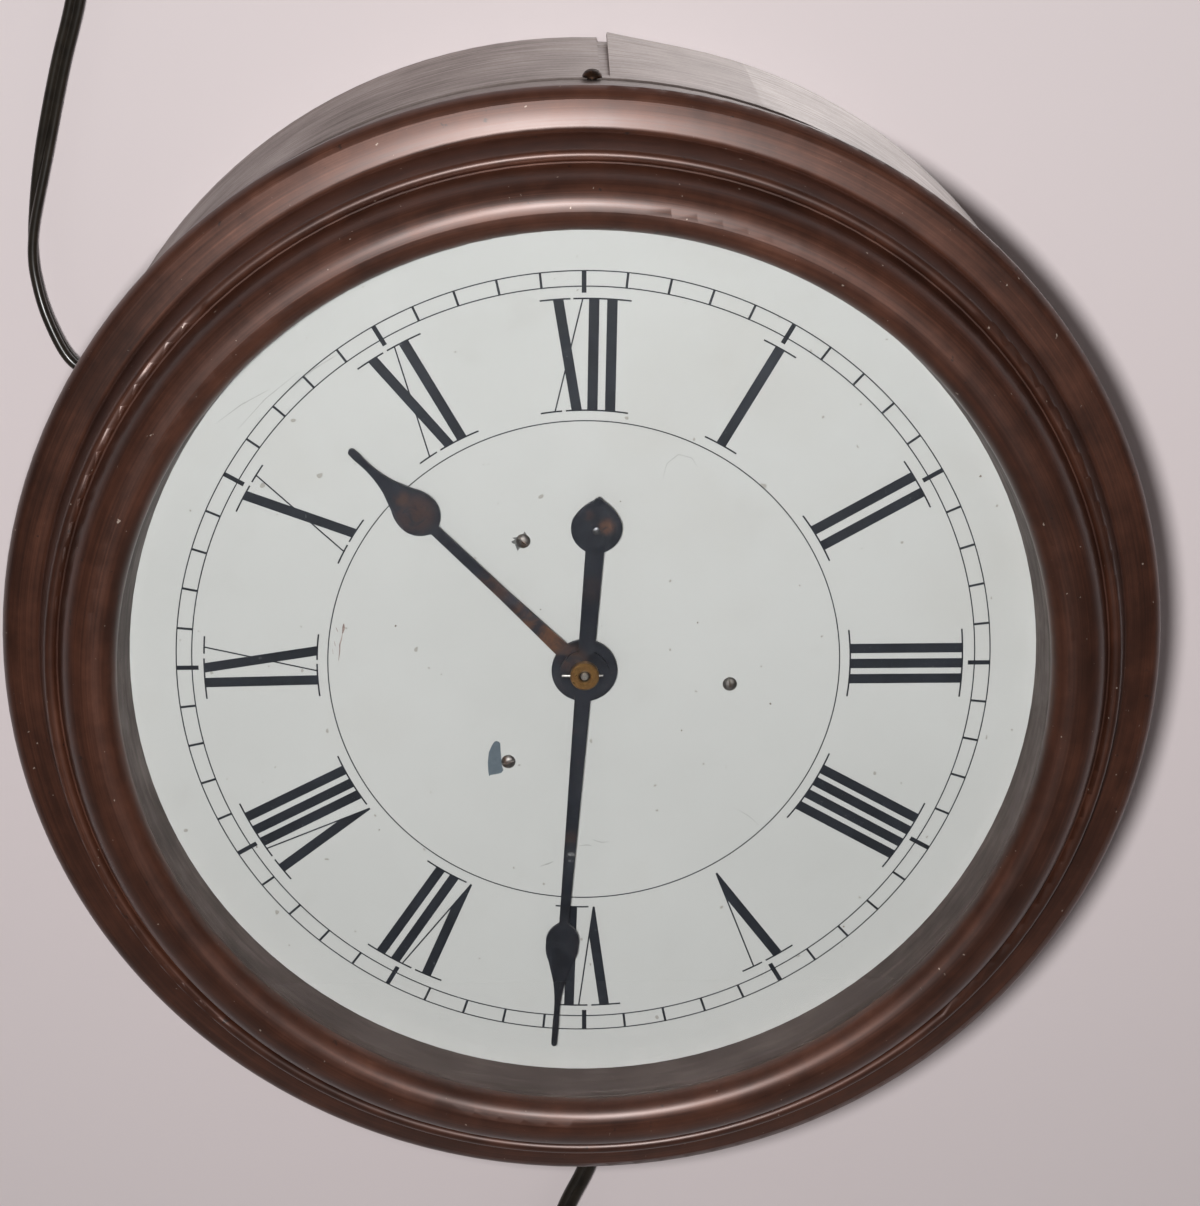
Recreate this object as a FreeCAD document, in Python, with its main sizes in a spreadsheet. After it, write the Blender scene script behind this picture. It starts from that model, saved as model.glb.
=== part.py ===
import FreeCAD, Part
import math
import os
from types import SimpleNamespace

import Sketcher
from FreeCAD import Vector

# Wall-hung secondary dial of an electric master clock system, in millimetres
# +Z is up, the dial faces -Y, and the wall is the plane Y = 0 behind the back pan

# Driving dimensions, each with what it measures
# A rise is a height in front of the dial face, a depth is a distance behind it
DIMENSIONS = [
    ("dial_depth", 134.0, "wall to dial face"),
    ("view_radius", 152.2, "dial that shows inside the sight ring"),
    ("dial_reach", 17.8, "dial plate beyond the showing dial"),
    ("dial_thick", 1.2, "dial plate"),
    ("dial_bore", 6.5, "hole in the dial for the hour pipe"),
    ("rim_screw_reach", 10.8, "screws that clamp the dial rim, beyond the showing dial"),
    ("rim_screw_count", 6, "screws that clamp the dial rim"),
    ("glass_reach", 7.8, "glass beyond the showing dial"),
    ("glass_thick", 2.5, "glass"),
    ("glass_rise", 17.6, "front face of the glass"),
    ("glass_gap", 1.0, "glass edge to the sight ring's wall"),
    ("glass_wall", 1.6, "height of the sight ring's wall round the glass"),
    ("sight_sheet", 0.8, "sight ring"),
    ("sight_gap", 0.4, "sight ring beyond the bezel's lip, under the glass"),
    ("sheet_gap", 0.1, "between lapped sheets and seated faces"),
    ("fit", 0.03, "between a fixed pin and its hole"),
    ("run", 0.06, "between a turning shaft and its hole"),
    ("end_play", 0.2, "between a shaft's shoulder and its plate"),
    ("bezel_sheet", 1.0, "spun copper"),
    ("lip_reach", 2.5, "inner lip of the bezel beyond the showing dial"),
    ("lip_rise", 17.9, "inner lip of the bezel"),
    ("crest_reach", 10.1, "crest of the inner roll beyond the showing dial"),
    ("crest_rise", 25.2, "crest of the inner roll"),
    ("roll_outer_bend", 11.2, "outer half of the inner roll"),
    ("roll_inner_bend", 7.45, "inner half of the inner roll"),
    ("roll_end_tilt", 77.0, "slope where the inner roll ends, degrees"),
    ("groove_width", 0.5, "groove inside the small bead"),
    ("bead_reach", 25.2, "middle of the small bead beyond the showing dial"),
    ("bead_rise", 12.2, "foot of the small bead"),
    ("bead_bend", 2.1, "small bead"),
    ("flange_reach", 31.7, "start of the sloping flange beyond the showing dial"),
    ("flange_rise", -0.3, "start of the sloping flange"),
    ("flange_bend", 42.0, "long curve of the sloping flange"),
    ("root_width", 1.9, "rounded root of the flange, across"),
    ("root_rise", 1.8, "rounded root of the flange, height"),
    ("root_bend", 2.4, "rounded root of the flange"),
    ("edge_reach", 39.8, "where the flange rolls over, beyond the showing dial"),
    ("edge_rise", -2.6, "where the flange rolls over"),
    ("edge_bend", 6.4, "rolled edge of the flange"),
    ("rim_reach", 43.4, "outside of the bezel beyond the showing dial"),
    ("rim_depth", 8.9, "back edge of the bezel"),
    ("rim_wall", 1.7, "straight wall at the bezel's back edge"),
    ("skirt_sheet", 1.0, "skirt"),
    ("skirt_gap", 0.4, "between the skirt and the drum"),
    ("skirt_end", 61.5, "back edge of the skirt"),
    ("hem_width", 5.5, "folded hem on the skirt"),
    ("hem_step", 0.6, "height of the hem"),
    ("hem_edge", 0.5, "broken edges of the hem"),
    ("skirt_screw_depth", 57.0, "radial screws behind the dial face"),
    ("skirt_screw_turn", 1.15, "clockwise from the top"),
    ("skirt_screw_count", 3, "radial screws"),
    ("skirt_head", 3.3, "radius of a radial screw's head"),
    ("skirt_head_rise", 2.6, "height of a radial screw's head"),
    ("skirt_shank", 1.8, "radius of a radial screw's shank"),
    ("skirt_nut", 6.8, "square nut of a radial screw, across"),
    ("skirt_nut_thick", 2.8, "square nut of a radial screw"),
    ("drum_reach", 33.4, "outside of the sheet drum beyond the showing dial"),
    ("drum_sheet", 1.0, "drum"),
    ("drum_front", 4.5, "front edge of the drum"),
    ("drum_end_gap", 0.3, "drum edge to the wall"),
    ("seam_left", 2.1, "left sheet end, degrees from the top"),
    ("seam_right", 3.1, "right sheet end, degrees from the top"),
    ("flat_end", 11.6, "where the unrolled flat end begins, degrees"),
    ("flat_start", 72.0, "depth behind which the end springs flat"),
    ("strap_reach", 7.0, "seam strap, degrees each way from the seam"),
    ("strap_notch", 1.7, "strap's clearance beside the seam screw, degrees"),
    ("strap_notch_end", 6.0, "strap's clearance behind the seam screw"),
    ("strap_gap", 1.0, "strap ends to the sheets beside them"),
    ("frame_reach", -12.2, "hole in the dial frame beyond the showing dial"),
    ("frame_thick", 2.0, "dial frame"),
    ("frame_flange", 18.0, "flange of the dial frame"),
    ("frame_corner", 3.2, "rounded corner of the dial frame"),
    ("pan_sheet", 1.2, "back pan"),
    ("pan_flange", 9.0, "flange of the back pan"),
    ("pan_corner", 2.0, "broken corner of the back pan"),
    ("wall_screw_inset", 45.6, "wall screws inside the drum's outside"),
    ("wall_screw_count", 4, "wall screws"),
    ("wall_screw_turn", 45.0, "first wall screw, degrees from the top"),
    ("wall_screw_hole", 2.75, "radius of a wall screw's hole"),
    ("grommet_gap", 18.0, "cord entries in front of the wall"),
    ("grommet_wall", 2.4, "rubber between a cord and its entry"),
    ("grommet_flange", 2.4, "bush flange beyond its entry"),
    ("grommet_lip", 2.0, "bush flange outside the drum"),
    ("grommet_foot", 1.8, "bush flange inside the drum"),
    ("grommet_seat", 0.25, "bush flange to the drum's sheet"),
    ("feed_turn", -68.7, "feed cord entry, degrees from the top"),
    ("link_turn", 176.9, "link cord entry, degrees from the top"),
    ("cord_radius", 2.6, "cord, as a round tube"),
    ("coil_lead_radius", 0.8, "coil lead in its sleeve"),
    ("connector_width", 26.0, "surface connector"),
    ("connector_height", 34.0, "surface connector"),
    ("connector_deep", 17.0, "surface connector, from the wall"),
    ("connector_corner", 5.0, "rounded corners of the connector"),
    ("connector_edge", 2.5, "rounded front edge of the connector"),
    ("connector_head", 3.0, "radius of a connector screw's head"),
    ("connector_sink", 2.2, "depth of a connector screw's seat"),
    ("dial_gap", 12.0, "dial back to front plate"),
    ("plate_radius", 66.0, "movement plates"),
    ("plate_thick", 3.0, "movement plates"),
    ("plate_gap", 34.0, "between the movement plates"),
    ("post_radius", 4.0, "dial posts and pillars"),
    ("post_tap", 7.0, "tapped hole in a dial post"),
    ("pillar_circle", 57.0, "pillars"),
    ("pillar_land", 5.0, "full-width ends of a pillar"),
    ("pillar_waist", 0.9, "how much thinner a pillar's middle is"),
    ("stud_radius", 1.5, "threaded ends"),
    ("thread_end", 4.0, "threaded end that stands out of its plate or frame"),
    ("nut_corner", 3.5, "hexagon nut, centre to corner"),
    ("nut_thick", 2.4, "nuts"),
    ("rim_head", 1.4, "rim screw's head beyond its thread"),
    ("rim_nut", 1.7, "rim nut beyond its thread"),
    ("dial_head", 0.9, "dial screw's head beyond its thread"),
    ("plate_head", 1.7, "pillar screw's head beyond its thread"),
    ("head_thick", 1.7, "heads of the plate screws"),
    ("head_edge", 0.4, "broken edge of a plate screw's head"),
    ("ratchet_radius", 20.0, "tips of the ratchet teeth"),
    ("ratchet_teeth", 60, "one tooth a minute"),
    ("ratchet_tooth", 1.1, "depth of a ratchet tooth"),
    ("ratchet_plane", 32.0, "back face of the ratchet wheel"),
    ("ratchet_thick", 1.6, "ratchet wheel"),
    ("ratchet_rim", 4.0, "ratchet wheel, window to tooth tips"),
    ("ratchet_arm", 8.0, "inner ends of the ratchet wheel's windows"),
    ("ratchet_hub", 6.0, "hub of the ratchet wheel"),
    ("ratchet_hub_back", 4.0, "hub behind the ratchet wheel"),
    ("ratchet_hub_front", 2.0, "hub in front of the ratchet wheel"),
    ("pawl_clearance", 0.3, "pawl tip over the tooth tips"),
    ("minute_module", 0.75, "cannon pinion and minute wheel"),
    ("cannon_teeth", 12, "cannon pinion"),
    ("minute_teeth", 36, "minute wheel"),
    ("pinion_teeth", 12, "minute pinion"),
    ("hour_teeth", 48, "hour wheel"),
    ("minute_stud_turn", 135.0, "minute wheel stud, degrees from the top"),
    ("cannon_gap", 0.7, "front plate to cannon pinion"),
    ("cannon_width", 3.9, "leaves of the cannon pinion"),
    ("minute_gap", 1.6, "front plate to minute wheel"),
    ("pinion_gap", 3.5, "front plate to minute pinion"),
    ("pinion_width", 5.0, "leaves of the minute pinion"),
    ("hour_gap", 7.0, "front plate to hour wheel"),
    ("wheel_thick", 1.8, "minute and hour wheels"),
    ("wheel_rim", 2.3, "minute and hour wheels, window to tooth roots"),
    ("hub_land", 1.1, "minute wheel's hub beyond its pinion"),
    ("hour_hub", 2.2, "hour wheel's hub beyond its pipe"),
    ("stud_flange", 3.6, "flange at the foot of the minute wheel's stud"),
    ("stud_head", 1.2, "head of the minute wheel's stud beyond its shank"),
    ("arbor_nose", 1.35, "radius of the arbor under the hands"),
    ("arbor_body", 2.5, "radius of the arbor between the plates"),
    ("front_pivot", 2.0, "minute arbor in the front plate"),
    ("rear_pivot", 1.25, "minute arbor in the back plate"),
    ("cannon_radius", 3.05, "outside of the cannon tube"),
    ("cannon_step", 0.7, "cannon tube's step for the minute hand"),
    ("hour_pipe_radius", 4.6, "outside of the hour pipe"),
    ("hour_step", 0.4, "hour pipe's step for the hour hand"),
    ("hour_rise", 5.4, "front face of the hour hand"),
    ("hour_tip_gap", 42.7, "hour hand's tip to the edge of the showing dial"),
    ("hour_boss", 11.0, "hour hand's boss"),
    ("hour_root", 2.6, "half width of the hour hand at its boss"),
    ("hour_turn", 315.4, "hour hand at rest, degrees from the top"),
    ("minute_rise", 8.4, "front face of the minute hand"),
    ("minute_tip_gap", 12.8, "minute hand's tip to the edge of the showing dial"),
    ("minute_boss", 8.2, "minute hand's boss"),
    ("minute_root", 2.65, "half width of the minute hand at its boss"),
    ("minute_turn", 184.4, "minute hand at rest, degrees from the top"),
    ("tail_length", 62.2, "tail of the minute hand"),
    ("tail_root", 2.7, "half width of the tail at the boss"),
    ("weight_setback", 11.5, "balance weight's middle from the tail's end"),
    ("weight_radius", 6.2, "balance weight behind the tail"),
    ("weight_thick", 1.1, "balance weight behind the tail"),
    ("weight_rivet", 1.3, "radius of the weight's rivet head"),
    ("rivet_head", 0.4, "rivet head beyond its shank"),
    ("hand_thick", 1.2, "both hands"),
    ("collet_rise", 11.3, "front face of the collet"),
    ("collet_radius", 4.8, "collet"),
    ("pin_radius", 0.6, "taper pin through the collet"),
    ("pin_setback", 1.6, "taper pin behind the collet's face"),
    ("pin_left", 7.7, "taper pin's thick end left of the arbor"),
    ("pin_right", 6.2, "taper pin's thin end right of the arbor"),
    ("pole_height", 30.8, "pole faces above the arbor"),
    ("pole_show", 2.2, "core that shows under its bobbin"),
    ("core_radius", 4.0, "magnet cores"),
    ("core_spacing", 28.0, "between the magnet cores"),
    ("core_end", 0.9, "core end above the yoke"),
    ("coil_length", 21.0, "bobbins, over the flanges"),
    ("coil_radius", 10.0, "windings"),
    ("bobbin_wall", 1.0, "tube of a bobbin"),
    ("bobbin_flange", 1.4, "thickness of a bobbin's flange"),
    ("bobbin_rim", 1.5, "bobbin's flange beyond the winding"),
    ("yoke_thick", 5.0, "yoke"),
    ("yoke_width", 16.0, "yoke, front to back"),
    ("yoke_end", 9.0, "yoke beyond the middle of a core"),
    ("yoke_foot", 22.0, "width of the yoke's foot"),
    ("yoke_screw_spacing", 12.0, "between the yoke's screws"),
    ("magnet_depth", 33.0, "middle of the magnet behind the dial face"),
    ("lead_hole", 6.8, "hole in the back plate for a coil lead"),
    ("lead_hole_across", 11.9, "coil lead's hole beside the arbor"),
    ("lead_hole_up", 28.2, "coil lead's hole above the arbor"),
    ("armature_low", 25.5, "underside of the armature above the arbor"),
    ("armature_thick", 3.0, "armature"),
    ("armature_pivot", 30.0, "armature pivot left of the arbor"),
    ("armature_reach", 25.0, "armature end right of the arbor"),
    ("armature_width", 18.0, "armature, front to back"),
    ("knuckle_radius", 4.0, "armature's knuckle"),
    ("knuckle_reach", 2.0, "knuckle beyond the armature, each way"),
    ("armature_shaft", 1.5, "armature arbor in its knuckle"),
    ("pivot_radius", 1.0, "pivots of the armature and the pawls"),
    ("lug_width", 5.2, "lug that carries the drive pawl"),
    ("lug_drop", 2.2, "lug below the pawl's pivot"),
    ("lug_thick", 4.0, "lug, front to back"),
    ("lug_gap", 0.4, "drive pawl to its lug"),
    ("stop_width", 2.0, "armature stop"),
    ("stop_inset", 2.0, "stop inside the armature's end"),
    ("stop_gap", 0.3, "armature stop below the armature"),
    ("pawl_length", 19.5, "drive pawl, pivot to tip"),
    ("pawl_hub", 2.7, "drive pawl"),
    ("pawl_width", 2.4, "drive pawl"),
    ("pawl_angle", 10.0, "drive pawl tip above three o'clock, degrees"),
    ("pawl_side_gap", 0.3, "pawls to their pins' heads"),
    ("pin_head", 0.9, "thickness of a pawl pin's head"),
    ("click_length", 25.0, "stop click, pivot to tip"),
    ("click_hub", 3.0, "stop click"),
    ("click_width", 2.0, "stop click"),
    ("click_angle", 110.0, "stop click tip above three o'clock, degrees"),
    ("click_collar", 2.4, "stop click's pin behind the click"),
    ("terminal_width", 40.0, "terminal block"),
    ("terminal_height", 14.0, "terminal block"),
    ("terminal_deep", 10.0, "terminal block"),
    ("terminal_up", -30.0, "terminal block's middle above the arbor"),
    ("terminal_peg", 17.0, "pegs of the terminal block beside its middle"),
    ("terminal_pitch", 9.0, "between the terminal screws"),
    ("terminal_head", 2.6, "radius of a terminal screw's head"),
    ("terminal_head_thick", 1.8, "terminal screw's head"),
]

# Places measured on the dial, across and up from its centre
DIAL_SCREWS = [(-20.2, 44.4), (49.1, -7.1), (-25.7, -34.9)]
# Pillars stand at these turns, clockwise from the top
PILLAR_TURNS = [72, 135, 225, 288]
# Routes of the cords, chosen along the photographed lines: across, in front of the wall, up
FEED_ROUTE = [
    (-172.2, -18.0, 67.1),
    (-178.1, -18.0, 69.5),
    (-183.3, -17.0, 73.9),
    (-188.0, -14.6, 82.2),
    (-192.7, -11.4, 94.0),
    (-195.5, -9.0, 111.2),
    (-191.5, -8.0, 136.0),
    (-182.2, -8.2, 176.5),
    (-176.0, -8.8, 196.5),
    (-173.6, -9.0, 207.5),
    (-173.6, -9.0, 214.5),
]
LINK_ROUTE = [
    (10.0, -18.0, -184.6),
    (10.7, -18.0, -198.0),
    (11.9, -15.0, -217.0),
    (9.9, -10.6, -239.0),
    (4.4, -8.4, -262.0),
    (-5.4, -8.0, -281.5),
    (-8.5, -9.0, -294.2),
    (-8.5, -9.0, -303.6),
]
FEED_LEAD = [
    (-171.8, -18.0, 66.95),
    (-158.8, -18.3, 61.6),
    (-139.0, -24.0, 49.0),
    (-110.0, -40.0, 25.0),
    (-76.0, -62.0, -8.0),
    (-44.0, -74.5, -29.0),
    (-20.4, -75.7, -30.0),
]
LINK_LEAD = [
    (9.98, -18.0, -184.3),
    (9.3, -18.6, -171.5),
    (7.0, -27.0, -150.0),
    (3.0, -46.0, -118.0),
    (4.5, -63.0, -84.0),
    (8.0, -74.0, -54.0),
    (8.0, -75.7, -37.4),
]
# Coil lead on the right: across, behind the dial face, up
COIL_LEAD = [
    (14.0, 43.65, 40.0),
    (13.6, 47.5, 37.0),
    (12.2, 51.5, 29.5),
    (10.2, 55.0, 19.0),
    (8.4, 56.8, 4.0),
    (7.0, 57.8, -11.0),
    (6.4, 58.1, -22.8),
]
LEAST_BEND_DIAMETERS = 3
WHOLE_TURN = 360


class Size:
    """A number kept together with the sheet expression that gives it."""

    def __init__(self, number, text=None):
        self.number = float(number)
        self.text = text or f"({number})"

    @property
    def fixed(self):
        return "Sizes." not in self.text

    def combine(self, other, sign, number):
        return Size(number, f"({self.text} {sign} {as_size(other).text})")

    def __add__(self, other):
        return self.combine(other, "+", self.number + float(other))

    def __sub__(self, other):
        return self.combine(other, "-", self.number - float(other))

    def __mul__(self, other):
        return self.combine(other, "*", self.number * float(other))

    def __truediv__(self, other):
        return self.combine(other, "/", self.number / float(other))

    def __radd__(self, other):
        return as_size(other) + self

    def __rsub__(self, other):
        return as_size(other) - self

    def __rmul__(self, other):
        return as_size(other) * self

    def __rtruediv__(self, other):
        return as_size(other) / self

    def __neg__(self):
        return Size(-self.number, f"(0 - {self.text})")

    def __float__(self):
        return self.number


def as_size(value):
    return value if isinstance(value, Size) else Size(value)


def cosine(degrees):
    degrees = as_size(degrees)
    return Size(math.cos(math.radians(degrees.number)), f"cos({degrees.text})")


def sine(degrees):
    degrees = as_size(degrees)
    return Size(math.sin(math.radians(degrees.number)), f"sin({degrees.text})")


def square_root(value):
    value = as_size(value)
    return Size(math.sqrt(value.number), f"sqrt({value.text})")


def around(radius, turn):
    """Across and up of a point at a turn clockwise from the top."""
    return radius * sine(turn), radius * cosine(turn)


# Document, sheet and the sizes read from it
doc = FreeCAD.newDocument("secondary_clock")
sheet = doc.addObject("Spreadsheet::Sheet", "Sizes")
sizes = {}
for row, (alias, number, meaning) in enumerate(DIMENSIONS, start=1):
    sheet.set(f"A{row}", alias)
    sheet.set(f"B{row}", str(number))
    sheet.set(f"C{row}", meaning)
    sheet.setAlias(f"B{row}", alias)
    sizes[alias] = Size(number, f"Sizes.{alias}")
v = SimpleNamespace(**sizes)
subparts = []


# Sketches
def origin_feature(body, role):
    return next(item for item in body.Origin.OriginFeatures if item.Role == role)


def new_body(label, keep=True):
    body = doc.addObject("PartDesign::Body", label)
    body.Label = label
    body.AllowCompound = True
    if keep:
        subparts.append(body)
    return body


def new_sketch(body, plane, name, depth=0, turn=None):
    """Sketch on an origin plane, moved back by a depth, or turned about the dial's axis."""
    sketch = body.newObject("Sketcher::SketchObject", name)
    sketch.AttachmentSupport = [(origin_feature(body, plane), "")]
    sketch.MapMode = "FlatFace"
    if turn is not None:
        bind(
            sketch,
            "AttachmentOffset",
            f"placement(vector(0; {as_size(depth).text}; 0); "
            f"rotation(vector(0; 1; 0); {as_size(turn).text}))",
        )
    elif plane == "XZ_Plane":
        bind(sketch, "AttachmentOffset.Base.z", (-as_size(depth)).text)
    return sketch


def bind(item, name, expression):
    item.setExpression(name, expression)


def pin_point(sketch, geometry, end, across, up):
    """Fixes one point of a sketch to a place given by the sheet."""
    for kind, value in (("DistanceX", across), ("DistanceY", up)):
        value = as_size(value)
        index = sketch.addConstraint(
            Sketcher.Constraint(kind, -1, 1, geometry, end, value.number)
        )
        if not value.fixed:
            name = f"{kind}_{geometry}_{end}"
            sketch.renameConstraint(index, name)
            bind(sketch, f"Constraints.{name}", value.text)


def fix_radius(sketch, geometry, radius):
    radius = as_size(radius)
    index = sketch.addConstraint(
        Sketcher.Constraint("Radius", geometry, radius.number)
    )
    if not radius.fixed:
        name = f"Radius_{geometry}"
        sketch.renameConstraint(index, name)
        bind(sketch, f"Constraints.{name}", radius.text)


def arc_between(start, finish, bend):
    """Short arc from start to finish, to the left when the bend is positive."""
    radius = abs(bend)
    chord = finish - start
    middle = (start + finish) * 0.5
    left = Vector(-chord.y, chord.x, 0).normalize()
    rise = math.sqrt(max(radius**2 - (chord.Length / 2) ** 2, 0))
    centre = middle + left * math.copysign(rise, bend)
    first, last = (start, finish) if bend > 0 else (finish, start)
    angles = [math.atan2(p.y - centre.y, p.x - centre.x) for p in (first, last)]
    circle = Part.Circle(centre, Vector(0, 0, 1), radius)
    return Part.ArcOfCircle(circle, angles[0], angles[1])


def trace(sketch, outline):
    """Closed outline of (across, up) points; a third number bends the edge that follows."""
    count = len(outline)
    first = sketch.GeometryCount
    spots = [Vector(float(p[0]), float(p[1]), 0) for p in outline]
    bends = [p[2] if len(p) > 2 else None for p in outline]
    edges = []
    for i, bend in enumerate(bends):
        start, finish = spots[i], spots[(i + 1) % count]
        if bend is None:
            edges.append(Part.LineSegment(start, finish))
        else:
            edges.append(arc_between(start, finish, float(bend)))
    sketch.addGeometry(edges, False)
    heads = [2 if bend is not None and float(bend) < 0 else 1 for bend in bends]
    for i in range(count):
        following = (i + 1) % count
        tail = 3 - heads[i]
        sketch.addConstraint(
            Sketcher.Constraint(
                "Coincident", first + i, tail, first + following, heads[following]
            )
        )
    for i, point in enumerate(outline):
        pin_point(sketch, first + i, heads[i], point[0], point[1])
        if bends[i] is not None:
            fix_radius(sketch, first + i, abs_size(bends[i]))


def abs_size(value):
    value = as_size(value)
    return -value if value.number < 0 else value


def ring(sketch, radius, across=0, up=0):
    """Circle whose centre and radius follow the sheet."""
    index = sketch.GeometryCount
    radius = as_size(radius)
    centre = Vector(float(across), float(up), 0)
    sketch.addGeometry(Part.Circle(centre, Vector(0, 0, 1), radius.number), False)
    pin_point(sketch, index, 3, across, up)
    fix_radius(sketch, index, radius)


def box(left, low, right, high):
    return [(left, low), (right, low), (right, high), (left, high)]


def both_sides(right):
    """Closed outline from its right side, which starts and ends on the middle line."""
    top = tuple(right[-1][:2]) + tuple(right[-2][2:3])
    left = []
    for index in range(len(right) - 2, 0, -1):
        point = right[index]
        bend = tuple(right[index - 1][2:3])
        left.append((-as_size(point[0]), point[1]) + bend)
    return list(right[:-1]) + [top] + left


# Features
def pad(body, sketch, length):
    """Pads towards the front from the sketch's depth."""
    feature = body.newObject("PartDesign::Pad", f"{sketch.Name}_pad")
    feature.Profile = sketch
    bind(feature, "Length", as_size(length).text)
    return feature


def pocket(body, sketch, length, forward=False, both_ways=False):
    """Cuts towards the back, towards the front, or half each way."""
    feature = body.newObject("PartDesign::Pocket", f"{sketch.Name}_cut")
    feature.Profile = sketch
    feature.Reversed = forward
    feature.Midplane = both_ways
    bind(feature, "Length", as_size(length).text)
    return feature


def revolve(body, sketch, axis="V_Axis"):
    feature = body.newObject("PartDesign::Revolution", f"{sketch.Name}_turned")
    feature.Profile = sketch
    feature.ReferenceAxis = (sketch, [axis])
    feature.Angle = WHOLE_TURN
    return feature


def repeat(body, feature, count):
    """Repeats a feature round the body's own front to back axis."""
    feature_pattern = body.newObject("PartDesign::PolarPattern", f"{feature.Name}_round")
    feature_pattern.Originals = [feature]
    feature_pattern.Axis = (origin_feature(body, "Y_Axis"), [""])
    feature_pattern.Angle = WHOLE_TURN
    bind(feature_pattern, "Occurrences", as_size(count).text)
    body.Tip = feature_pattern
    return feature_pattern


def place(item, across=0, depth=0, up=0, turn=0):
    """Puts a piece at a depth behind the dial face, turned clockwise."""
    spot = [as_size(across), as_size(depth) - v.dial_depth, as_size(up)]
    texts = "; ".join(value.text for value in spot)
    bind(
        item,
        "Placement",
        f"placement(vector({texts}); rotation(vector(0; 1; 0); {as_size(turn).text}))",
    )


def turned(label, outline, keep=True, across=0, up=0, depth=0, turn=0):
    """Piece turned about a front to back axis, from (radius, depth) points."""
    body = new_body(label, keep)
    sketch = new_sketch(body, "XY_Plane", f"{label}_profile")
    trace(sketch, outline)
    revolve(body, sketch)
    place(body, across, depth, up, turn)
    return body


def tube(outer, inner, front, back):
    return box(inner, front, outer, back)


def copies(label, body, spots, depth=0):
    """Several separate copies of one piece as one sub-part; a spot is across, up and turn."""
    links = []
    for number, (across, up, turn) in enumerate(spots):
        link = doc.addObject("App::Link", f"{label}_{number}")
        link.LinkedObject = body
        place(link, across, depth, up, turn)
        links.append(link)
    group = doc.addObject("Part::Compound", label)
    group.Label = label
    group.Links = links
    subparts.append(group)


def drill(body, name, front, back, holes):
    """Round holes from a front face through a back face; a hole is radius, across and up."""
    sketch = new_sketch(body, "XZ_Plane", name, front - CUT_PAST)
    for radius, across, up in holes:
        ring(sketch, radius, across, up)
    return pocket(body, sketch, back - front + CUT_PAST * 2)


def drill_radial(body, name, radius, depth, turn):
    """Round hole from the axis outwards through the sheet at a turn."""
    sketch = new_sketch(body, "XY_Plane", name, depth, turn)
    ring(sketch, radius)
    return pocket(body, sketch, v.rim_radius + CUT_PAST, forward=True)


def cut_slot(body, depth, width, length, forward=True):
    """Screwdriver slot across a head, cut from a depth towards the front."""
    slot = new_sketch(body, "XZ_Plane", f"{body.Label}_slot", depth)
    half = width / 2
    trace(slot, box(-length, -half, length, half))
    pocket(body, slot, CUT_PAST, forward=forward)


def plate_screw(label, seat, end, head, thick, side):
    """Plain screw on a plate; its head faces back when the side is 1, forward when it is -1."""
    face = seat + thick * side
    outline = [
        (0, end),
        (v.stud_radius, end),
        (v.stud_radius, seat),
        (head, seat),
        (head, face - v.head_edge * side),
        (head - v.head_edge, face),
        (0, face),
    ]
    return turned(label, outline, keep=False)


# How far a cut runs past the metal it goes through
CUT_PAST = 5

# Radii that grow with the showing dial
for part_name in ("dial", "glass", "lip", "crest", "bead", "flange", "edge", "rim", "drum"):
    reach = sizes[f"{part_name}_reach"]
    setattr(v, f"{part_name}_radius", v.view_radius + reach)
v.rim_screw_circle = v.view_radius + v.rim_screw_reach
v.frame_radius_in = v.view_radius + v.frame_reach
v.minute_length = v.view_radius - v.minute_tip_gap
v.hour_length = v.view_radius - v.hour_tip_gap

# Depths and places that several pieces share
dial_back = v.dial_thick
frame_back = dial_back + v.frame_thick
front_face = dial_back + v.dial_gap
front_inner = front_face + v.plate_thick
back_inner = front_inner + v.plate_gap
back_face = back_inner + v.plate_thick
drum_inner = v.drum_radius - v.drum_sheet
lining_radius = drum_inner - v.sheet_gap
skirt_inner = v.drum_radius + v.skirt_gap
skirt_outer = skirt_inner + v.skirt_sheet
glass_back_rise = v.glass_rise - v.glass_thick
wall_depth = v.dial_depth
grommet_depth = wall_depth - v.grommet_gap
grommet_hole = v.cord_radius + v.grommet_wall + v.sheet_gap * 2
wall_screw_circle = v.drum_radius - v.wall_screw_inset
stud_distance = v.minute_module * (v.cannon_teeth + v.minute_teeth) / 2
hour_module = stud_distance * 2 / (v.pinion_teeth + v.hour_teeth)
stud_spot = around(stud_distance, v.minute_stud_turn)
cannon_back = front_face - v.cannon_gap
minute_wheel_back = front_face - v.minute_gap
minute_pinion_back = front_face - v.pinion_gap
hour_wheel_back = front_face - v.hour_gap
minute_seat = v.cannon_radius - v.cannon_step
hour_seat = v.hour_pipe_radius - v.hour_step
pin_rise = v.collet_rise - v.pin_setback
weight_centre = v.tail_length - v.weight_setback
rivet_shank = v.weight_rivet - v.rivet_head
armature_axis_up = v.armature_low + v.armature_thick / 2
coil_low = v.pole_height + v.pole_show
coil_high = coil_low + v.coil_length
yoke_low = coil_high + v.sheet_gap
yoke_up = yoke_low + v.yoke_thick / 2
ratchet_front = v.ratchet_plane - v.ratchet_thick
lug_front = v.ratchet_plane + v.lug_gap
tip_radius = v.ratchet_radius + v.pawl_clearance


def pawl_pivot_spot(length, angle):
    """Pivot of a pawl whose tip meets the ratchet wheel square, at an angle above three o'clock."""
    across = tip_radius * cosine(angle) - length * sine(angle)
    up = tip_radius * sine(angle) + length * cosine(angle)
    return across, up


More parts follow.
